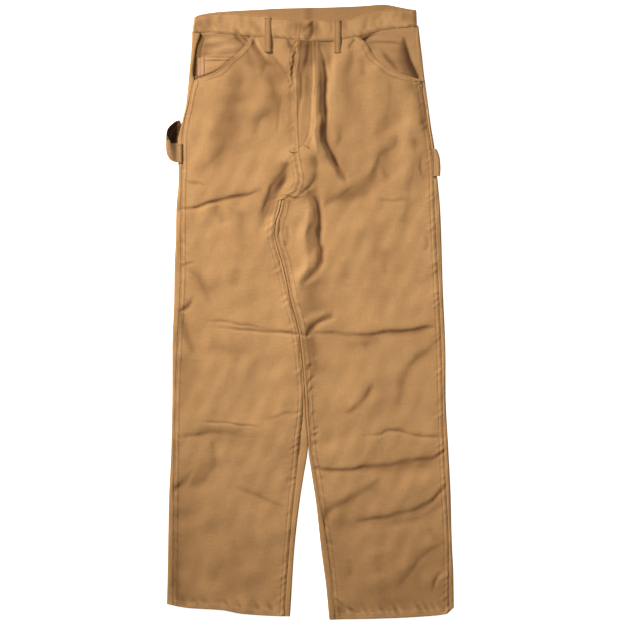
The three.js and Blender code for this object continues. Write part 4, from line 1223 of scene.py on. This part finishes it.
RIGHT_FACING = {
    "out": -1, "outer": RIGHT_OUTER, "scoop": RIGHT_SCOOP, "base": FACING_LOW + 0.8, "swell": 1.1,
    "folds": RIGHT_FACING_FOLDS, "seed": 41, "ripple": 0.24, "open_side": 11.0, "layers": 2,
}
LEFT_FACING = {
    "out": 1, "outer": LEFT_OUTER, "scoop": LEFT_SCOOP, "base": FACING_HIGH, "swell": 1.3,
    "folds": LEFT_FACING_FOLDS, "seed": 42, "ripple": 0.06, "open_side": 0.0, "layers": 1,
}


def facing(name, side):
    rows = np.linspace(WAIST, SCOOP_FOOT - POCKET_TUCK, 90)
    edge = at_y(side["scoop"], "x", np.maximum(rows, SCOOP_FOOT + 9)) - side["out"] * POCKET_TUCK
    gape = ease(WAIST, WAIST - 12, rows) * ease(SCOOP_FOOT - 8, SCOOP_FOOT + 6, rows)
    seam = at_y(side["outer"], "seam", rows) - side["out"] * side["open_side"] * gape
    x = mix(seam[:, None], edge[:, None], np.linspace(0, 1, 90)[None, :])
    y = curved_y(x, rows[:, None] + np.zeros_like(x), WAIST_FRONT, HEM_LEFT)
    z, tone = facing_height(side, x, y)
    piece = laid(name + "_cloth", np.stack([x, y, z], axis=2), tone, CLOTH)
    return claim(piece, name, FACING_DUCK)


LOWEST_COIN = 1.6  # the tucked part of the coin pocket stays this far off the floor


def coin_height(x, y):
    under = at_y(RIGHT_SCOOP, "x", np.maximum(y, SCOOP_FOOT)) - x
    on_facing = facing_height(RIGHT_FACING, x, y)[0] + 0.7 + 0.8 * ease(0, 9, under)
    tucked_in = np.maximum(np.minimum(on_facing, under_front(x, y, 1) - 0.3), LOWEST_COIN)
    return np.where(under > 0, on_facing, tucked_in)


def coin_pocket():
    across = spaced(COIN["left"], COIN["right"], 22)[0]
    x, y = np.meshgrid(across, spaced(COIN["top"], COIN["foot"], 22)[0])
    below_top = COIN["top"] - y
    rows = sum(hump(below_top, row, 0.9) for row in COIN_ROWS)
    edges = hump(below_top, 0, 0.8) + hump(x, COIN["left"], 0.8)
    sewn_in = -0.45 * rows - 0.4 * edges
    points = np.stack([x, y, coin_height(x, y) + sewn_in], axis=2)
    # Painted shade along the coin pocket's rows of stitches and its edges
    piece = laid("coin_pocket_cloth", points, COIN_TONE * sewn_in, CLOTH)
    return claim(piece, "coin_pocket", DUCK)


def selvedge():
    """The woven edge that shows beside the coin pocket: paler, with two coloured threads."""
    x, y = np.meshgrid(np.linspace(-199.5, COIN["left"] - 0.4, 14), np.linspace(453, 419, 30))
    points = np.stack([x, y, facing_height(RIGHT_FACING, x, y)[0] + 0.3], axis=2)
    return claim(laid("selvedge_edge", points, 0, 0.25), None, SELVEDGE)


LOWEST_ZIP = 1.5


def zip_tape():
    under = LAY + FLY_RISE - CLOTH - SEAM
    y = np.linspace(ZIP["top"], ZIP["foot"], 50)[:, None]
    x = mix(ZIP["left"], ZIP["right"], np.linspace(0, 1, 8))[None, :]
    x = x + at_y(FLY_EDGE, "x", y) - FLY_EDGE["x"][0]
    y = y + np.zeros_like(x)
    z = np.maximum(under + held_up(np.minimum(relief(x, y), 0)) - 0.1, LOWEST_ZIP)
    piece = laid("fly_zip_tape", np.stack([x, y, z], axis=2), 0, 0.7)
    return claim(piece, "fly_zip", ZIP_TAPE)


# Straps

def belt_loop_lie(x, y, foot, top):
    """Height of a belt loop, which follows the step from the panel up to the band."""
    on = mix(LAY, BAND_LAY, ease(foot + 8, foot + 22, y))
    lie = np.maximum(on, np.where(y > 483, BAND_LAY, LAY))
    if x > 0:
        lie = lie + band_height(BAND_LEFT, x) - BAND_LAY
    bow = LOOP_BOW * np.sin((top - y) / (top - foot) * math.pi)
    return lie + STRAP_CLOTH + bow


def belt_loop(name, x, top, foot):
    rows = spaced(top, foot, 24)[0][:, None]
    s = np.linspace(-0.5, 0.5, 15)[None, :] * LOOP_WIDTH
    d = LOOP_WIDTH / 2 - np.abs(s)
    crown = 0.15 * np.cos(np.pi * s / LOOP_WIDTH) - 0.4 * hump(d, 0, 0.7)
    crown = crown - 0.3 * hump(d, 2.2, 0.6)
    z = belt_loop_lie(x, rows, foot, top) + crown
    points = np.stack([x + s + 0 * rows, rows + 0 * s, z], axis=2)
    # Painted shade over the whole loop, darker along its edges and rows of stitches
    shaded = -0.5 - 1.8 * hump(d, 0, 1.4) - 1.2 * hump(d, 2.4, 0.8) + 0 * z
    piece = laid(name + "_cloth", points, shaded, STRAP_CLOTH)
    return claim(piece, name, STRAP_DUCK)


STRAP_WIDE = 35
LOOP_PAINTED_SHADE = -24  # painted shade inside the loop: its cloth counts as this deep, near black


def strap_points(steps, across):
    """Smooth grid between the hammer loop's two edges."""
    key = np.arange(len(HAMMER_LOOP["rimX"]), dtype=float)
    rows = dict(HAMMER_LOOP, t=key)
    t = np.linspace(0, key[-1], steps)
    rim_edge = np.stack([curve(rows, "t", "rim" + axis, t) for axis in "XYZ"], axis=1)
    low_edge = np.stack([curve(rows, "t", "low" + axis, t) for axis in "XYZ"], axis=1)
    return mix(rim_edge[:, None, :], low_edge[:, None, :], np.linspace(0, 1, across)[None, :, None])


def grid_normal(points):
    normal = np.cross(np.gradient(points, axis=0), np.gradient(points, axis=1))
    return normal / np.linalg.norm(normal, axis=2, keepdims=True)


def hammer_loop():
    middle = strap_points(90, 25)
    normal = grid_normal(middle)
    s = np.linspace(0, 1, 25)[None, :] * STRAP_WIDE
    d = np.minimum(s, STRAP_WIDE - s)
    crown = 0.3 - 0.5 * hump(d, 0, 0.8) - 0.3 * hump(d, 2.2, 0.8)
    outer = middle + normal * (crown[..., None] * 0.6)
    x, y = outer[..., 0], outer[..., 1]
    # Painted shade on the strap where it turns away from the light, near black inside the loop
    bent = -1.8 * ease(-235, -240, x) - 2.6 * hump(x, -241, 3.4)
    shaded = mix(bent, loop_shade(x), ease(304, 312, y))
    strap = (outer, middle - normal * STRAP_CLOTH, weave_of(outer, shaded), 1)
    piece = shell("hammer_loop_cloth", [strap, lower_run(middle[40:])])
    return claim(piece, "hammer_loop", LOOP_DUCK)


def loop_shade(x):
    """Deep shade inside the loop, less of it beside the leg."""
    return mix(LOOP_PAINTED_SHADE, -1, ease(-242, -235, x))


def lower_run(points):
    """The run of the strap that lies on the floor inside the loop, painted near black as deep shade."""
    low = points[:, -1]
    t = np.linspace(0, 1, 12)[None, :]
    x = mix(low[:, :1], LOOP_ROOT + 0 * low[:, :1], t)
    y = mix(low[:, 1:2], np.clip(low[:, 1:2], 296, 335), t)
    run = np.stack([x, y, np.full_like(x, 1.0)], axis=2)
    return run, run - np.array([0, 0, 0.7]), weave_of(run, loop_shade(x)), 1


def hip_strap():
    """The strap end lies on the front and goes round the side fold, short of the floor."""
    height = LAY + 2 * SEAM + STRAP_CLOTH
    rows = np.linspace(HIP_STRAP["y"][0], HIP_STRAP["y"][-1], 40)
    edge = at_y(HIP_STRAP, "edge", rows)
    turn = arc(edge, np.full_like(edge, height), 1, 14)
    top = flat_run(np.full_like(edge, HIP_STRAP_START), turn[0][:, 0], height, 1, 12)
    x, z, nx, nz = joined([top, cut(turn, 1, 12)])
    outer, inner = walls(x, rows[:, None] + 0 * x, np.maximum(z, 0.2), nx, nz, STRAP_CLOTH)
    # Paler over the strap, with a painted shadow along its sewn edge and painted shade where it turns down
    shaded = 1.5 - 6 * hump(x, HIP_STRAP_START, 1.5) - 2 * nx
    piece = shell("hip_strap_left_cloth", [(outer, inner, weave_of(outer, shaded), 1)])
    return claim(piece, "hip_strap_left", STRAP_DUCK)


# Sewing

RING = 5  # corners of a stitch's section
# Sections of a stitch: place along it, thickness and lift
PROFILE = ((-0.5, 0.45, -0.25), (-0.25, 1, 0.1), (0.25, 1, 0.1), (0.5, 0.45, -0.25))
BARTACK_PITCH = 0.62
BARTACK_WIDE = 2.2
ON_CLOTH = 0.05  # middle of a thread over the cloth


def stitches(name, runs):
    """Every stitch of a set of rows, as small bowed pieces of thread in one mesh."""
    centre = np.concatenate([run[0] for run in runs])
    along = np.concatenate([run[1] for run in runs])
    length = np.concatenate([np.full(len(run[0]), run[2]) for run in runs])
    side = np.cross(along, np.array([0.0, 0, 1]))
    side /= np.linalg.norm(side, axis=1, keepdims=True)
    rise = np.cross(side, along)
    turns = np.linspace(0, math.tau, RING, endpoint=False)[None, :, None]
    around = side[:, None, :] * np.cos(turns) + rise[:, None, :] * np.sin(turns)
    rings = []
    for reach, size, lift in PROFILE:
        core = centre + along * (reach * length)[:, None] + rise * (lift * THREAD)
        rings.append(core[:, None, :] + around * THREAD * size)
    points = np.stack(rings, axis=1).reshape(-1, 3)
    base = np.arange(len(centre))[:, None] * RING * len(PROFILE)
    faces = []
    for ring in range(len(PROFILE) - 1):
        for k in range(RING):
            a, b = ring * RING + k, ring * RING + (k + 1) % RING
            faces += (base + np.array([a, b, b + RING, a + RING])).tolist()
    last = (len(PROFILE) - 1) * RING
    faces += (base + np.arange(RING)[::-1]).tolist() + (base + last + np.arange(RING)).tolist()
    return claim(build(name, points, faces, points.copy()), None, THREAD_COTTON)


def sewn(path, pitch=STITCH_PITCH, length=STITCH_LENGTH):
    """Stitches at an even pitch along a path of points."""
    steps = np.linalg.norm(np.diff(path, axis=0), axis=1)
    run = np.concatenate([[0], np.cumsum(steps)])
    at = np.arange(pitch / 2, run[-1], pitch)

    def point(place):
        return np.stack([np.interp(place, run, path[:, k]) for k in range(3)], axis=1)

    along = point(at + 0.5) - point(at - 0.5)
    return point(at), along / np.linalg.norm(along, axis=1, keepdims=True), length


def bartack(x1, y1, x2, y2, z):
    """Close stitches side by side, square to the line that they lock."""
    reach = math.hypot(x2 - x1, y2 - y1)
    count = int(reach / BARTACK_PITCH)
    t = np.linspace(0, 1, count)
    centre = np.stack([mix(x1, x2, t), mix(y1, y2, t), np.full(count, z)], axis=1)
    square = np.array([-(y2 - y1), x2 - x1, 0]) / reach
    return centre, np.tile(square, (count, 1)), BARTACK_WIDE


def panel_path(panel, x, y):
    """A path over a front panel, on its cloth."""
    z, _ = panel_height(panel, x, y)
    return np.stack([x, curved_y(x, y, WAIST_FRONT, panel["hem"]), z + ON_CLOTH], axis=1)


def edge_row(panel, side, top, foot, d):
    y = np.arange(top, foot, -0.5)
    edge = panel[side]
    inward = 1 if side == "left" else -1
    return sewn(panel_path(panel, edge(y) + inward * d / slope_share(edge, y), y))


def hem_row(panel):
    y = HEM + HEM_STITCH
    x = np.arange(float(panel["left"](y)) + 1, float(panel["right"](y)) - 1, 1.0)
    return sewn(panel_path(panel, x, np.full_like(x, y)))


def true_path(panel, rows):
    """A path over a front panel given by its true places."""
    y = np.linspace(rows["y"][0], rows["y"][-1], 200)
    x = at_y(rows, "x", y)
    z, _ = panel_height(panel, x, y)
    return np.stack([x, y, z + ON_CLOTH], axis=1)


def leg_sewing():
    runs = [hem_row(RIGHT_PANEL), hem_row(LEFT_PANEL)]
    for d in (FELL_NEAR, FELL_FAR):
        runs.append(edge_row(RIGHT_PANEL, "left", SCOOP_FOOT - 4, HEM + 3, d))
        runs.append(edge_row(LEFT_PANEL, "right", SCOOP_FOOT - 4, HEM + 3, d))
        runs.append(edge_row(LEFT_PANEL, "left", CROTCH - 6, HEM + 3, d))
    return stitches("leg_sewing", runs)


def fly_sewing():
    runs = [sewn(true_path(LEFT_PANEL, row)) for row in (FLY_STITCH_NEAR, FLY_STITCH_FAR)]
    runs += [edge_row(LEFT_PANEL, "left", FLY_FOOT - 6, CROTCH + 6, d) for d in (FELL_NEAR, FELL_FAR)]
    runs.append(edge_row(LEFT_PANEL, "left", WAIST - 1, FLY_FOOT, FELL_NEAR))
    runs.append(bartack(-12, 299, -3, 293, LAY + FLY_RISE + 0.4))
    runs.append(bartack(-35, 285, -22, 285, LAY + 0.6))
    return stitches("fly_sewing", runs)


def pocket_sewing():
    runs = []
    for d in (FELL_NEAR, FELL_FAR):
        runs.append(edge_row(RIGHT_PANEL, "left", WAIST - 2, SCOOP_FOOT + 2, d))
        runs.append(edge_row(LEFT_PANEL, "right", WAIST - 2, SCOOP_FOOT + 2, d))
    x = np.arange(COIN["left"] + 2, COIN["right"], 1.0)
    for below in COIN_ROWS:
        y = np.full_like(x, COIN["top"] - below)
        runs.append(sewn(np.stack([x, y, coin_height(x, y) - 0.3], axis=1)))
    runs.append(bartack(-203, 410, -203, 420, LAY + 0.4))
    runs.append(bartack(186, 412, 199, 412, LAY + 0.5))
    return stitches("pocket_sewing", runs)


def band_row(side, v):
    end, edge = mix(side["end_foot"], side["end_top"], v), mix(side["foot"], side["top"], v)
    x = np.arange(end + side["out"] * 2.5, edge - side["out"] * 4, side["out"] * 1.0)
    return sewn(np.stack([x, band_y(x, v, 0), band_face(side, x, v) + ON_CLOTH], axis=1))


def band_sewing():
    row = BAND_ROW / BAND_TALL
    runs = [band_row(side, v) for side in (BAND_RIGHT, BAND_LEFT) for v in (row, 1 - row)]
    v = np.linspace(0.08, 0.92, 40)
    end = mix(BAND_LEFT["end_foot"], BAND_LEFT["end_top"], v) + BAND_ROW
    z = band_height(BAND_LEFT, end) + band_relief(end, v)
    runs.append(sewn(np.stack([end, band_y(end, v, 0), z], axis=1)))
    for _, x, top, foot in BELT_LOOPS:
        y = np.arange(top - 1, foot + 1, -1.0)
        lie = belt_loop_lie(x, y, foot, top)
        for s in (-3.3, 3.3):
            runs.append(sewn(np.stack([np.full_like(y, x + s), y, lie - 0.02], axis=1), 2.6, 1.9))
        for y_tack in (top - 2, foot + 2.5):
            z_tack = float(belt_loop_lie(x, y_tack, foot, top)) + 0.25
            runs.append(bartack(x - 5, y_tack, x + 5, y_tack, z_tack))
    return stitches("band_sewing", runs)


def strap_sewing():
    points = strap_points(120, 36)
    normal = grid_normal(points)
    lifted = points + normal * 0.15
    runs = [sewn(lifted[2:-2, k], 2.8, 2.0) for k in (2, 33)]
    runs.append(bartack(-231, 299, -231, 268, 6.6))
    runs.append(bartack(219, 287, 219, 245, LAY + 2 * SEAM + STRAP_CLOTH + 0.2))
    return stitches("strap_sewing", runs)


front_panel("front_right", RIGHT_PANEL)
front_panel("front_left", LEFT_PANEL)
back_panel("back_right", RIGHT_LEG)
back_panel("back_left", LEFT_LEG)
waistband("waistband_right", BAND_RIGHT)
waistband("waistband_left", BAND_LEFT)
facing("pocket_facing_right", RIGHT_FACING)
facing("pocket_facing_left", LEFT_FACING)
coin_pocket()
selvedge()
zip_tape()
for loop in BELT_LOOPS:
    belt_loop(*loop)
hammer_loop()
hip_strap()
leg_sewing()
fly_sewing()
pocket_sewing()
band_sewing()
strap_sewing()


# Floor, light and camera

FLOOR_REACH = 4.0
FLOOR_DROP = 0.0004


def plain_floor():
    mesh = bpy.data.meshes.new("floor")
    corners = ((-1, -1), (1, -1), (1, 1), (-1, 1))
    points = [(x * FLOOR_REACH, y * FLOOR_REACH, -FLOOR_DROP) for x, y in corners]
    mesh.from_pydata(points, [], [(0, 1, 2, 3)])
    floor = bpy.data.objects.new("floor", mesh)
    bpy.context.scene.collection.objects.link(floor)
    g = Graph("floor")
    g.finish(g.blend(g.noise(g.place(), 30.0), (0.9, 0.9, 0.9), (0.93, 0.93, 0.93)), 0.9)
    g.feed(g.shader, {"Emission Color": (1, 1, 1, 1), "Emission Strength": 0.85})
    mesh.materials.append(g.material)


def soft_light(name, place, aim, size, power, colour, spread):
    """A round lamp at a place in metres that is turned to its aim."""
    data = bpy.data.lights.new(name, "AREA")
    data.shape = "DISK"
    data.size = size
    data.energy = power
    data.color = colour
    data.spread = math.radians(spread)
    light = bpy.data.objects.new(name, data)
    light.location = place
    light.rotation_euler = (Vector(aim) - Vector(place)).to_track_quat("-Z", "Y").to_euler()
    bpy.context.scene.collection.objects.link(light)


def studio():
    """A warm dim surround, the main lamp low at the top left and a weak one overhead."""
    world = bpy.data.worlds.new("studio")
    world.use_nodes = True
    background = world.node_tree.nodes["Background"]
    background.inputs["Color"].default_value = (1, 0.87, 0.72, 1)
    background.inputs["Strength"].default_value = 0.1
    bpy.context.scene.world = world
    soft_light(
        "key", place=(-1.95, 1.8, 1.28), aim=(0.1, -0.05, 0),
        size=0.55, power=15.9, colour=(1, 0.97, 0.92), spread=60)
    soft_light(
        "top", place=(0.3, 0.1, 1.7), aim=(0.05, 0.0, 0),
        size=0.9, power=2.0, colour=(1, 0.975, 0.94), spread=100)
    bpy.context.scene.view_settings.view_transform = "Standard"


def camera():
    """Straight over the garment, where the photo was taken from."""
    data = bpy.data.cameras.new("camera")
    data.lens = 100
    data.sensor_width = 36
    eye = bpy.data.objects.new("camera", data)
    eye.location = (0.0004, -0.0018, 3.101)
    bpy.context.scene.collection.objects.link(eye)
    bpy.context.scene.camera = eye


plain_floor()
studio()
camera()
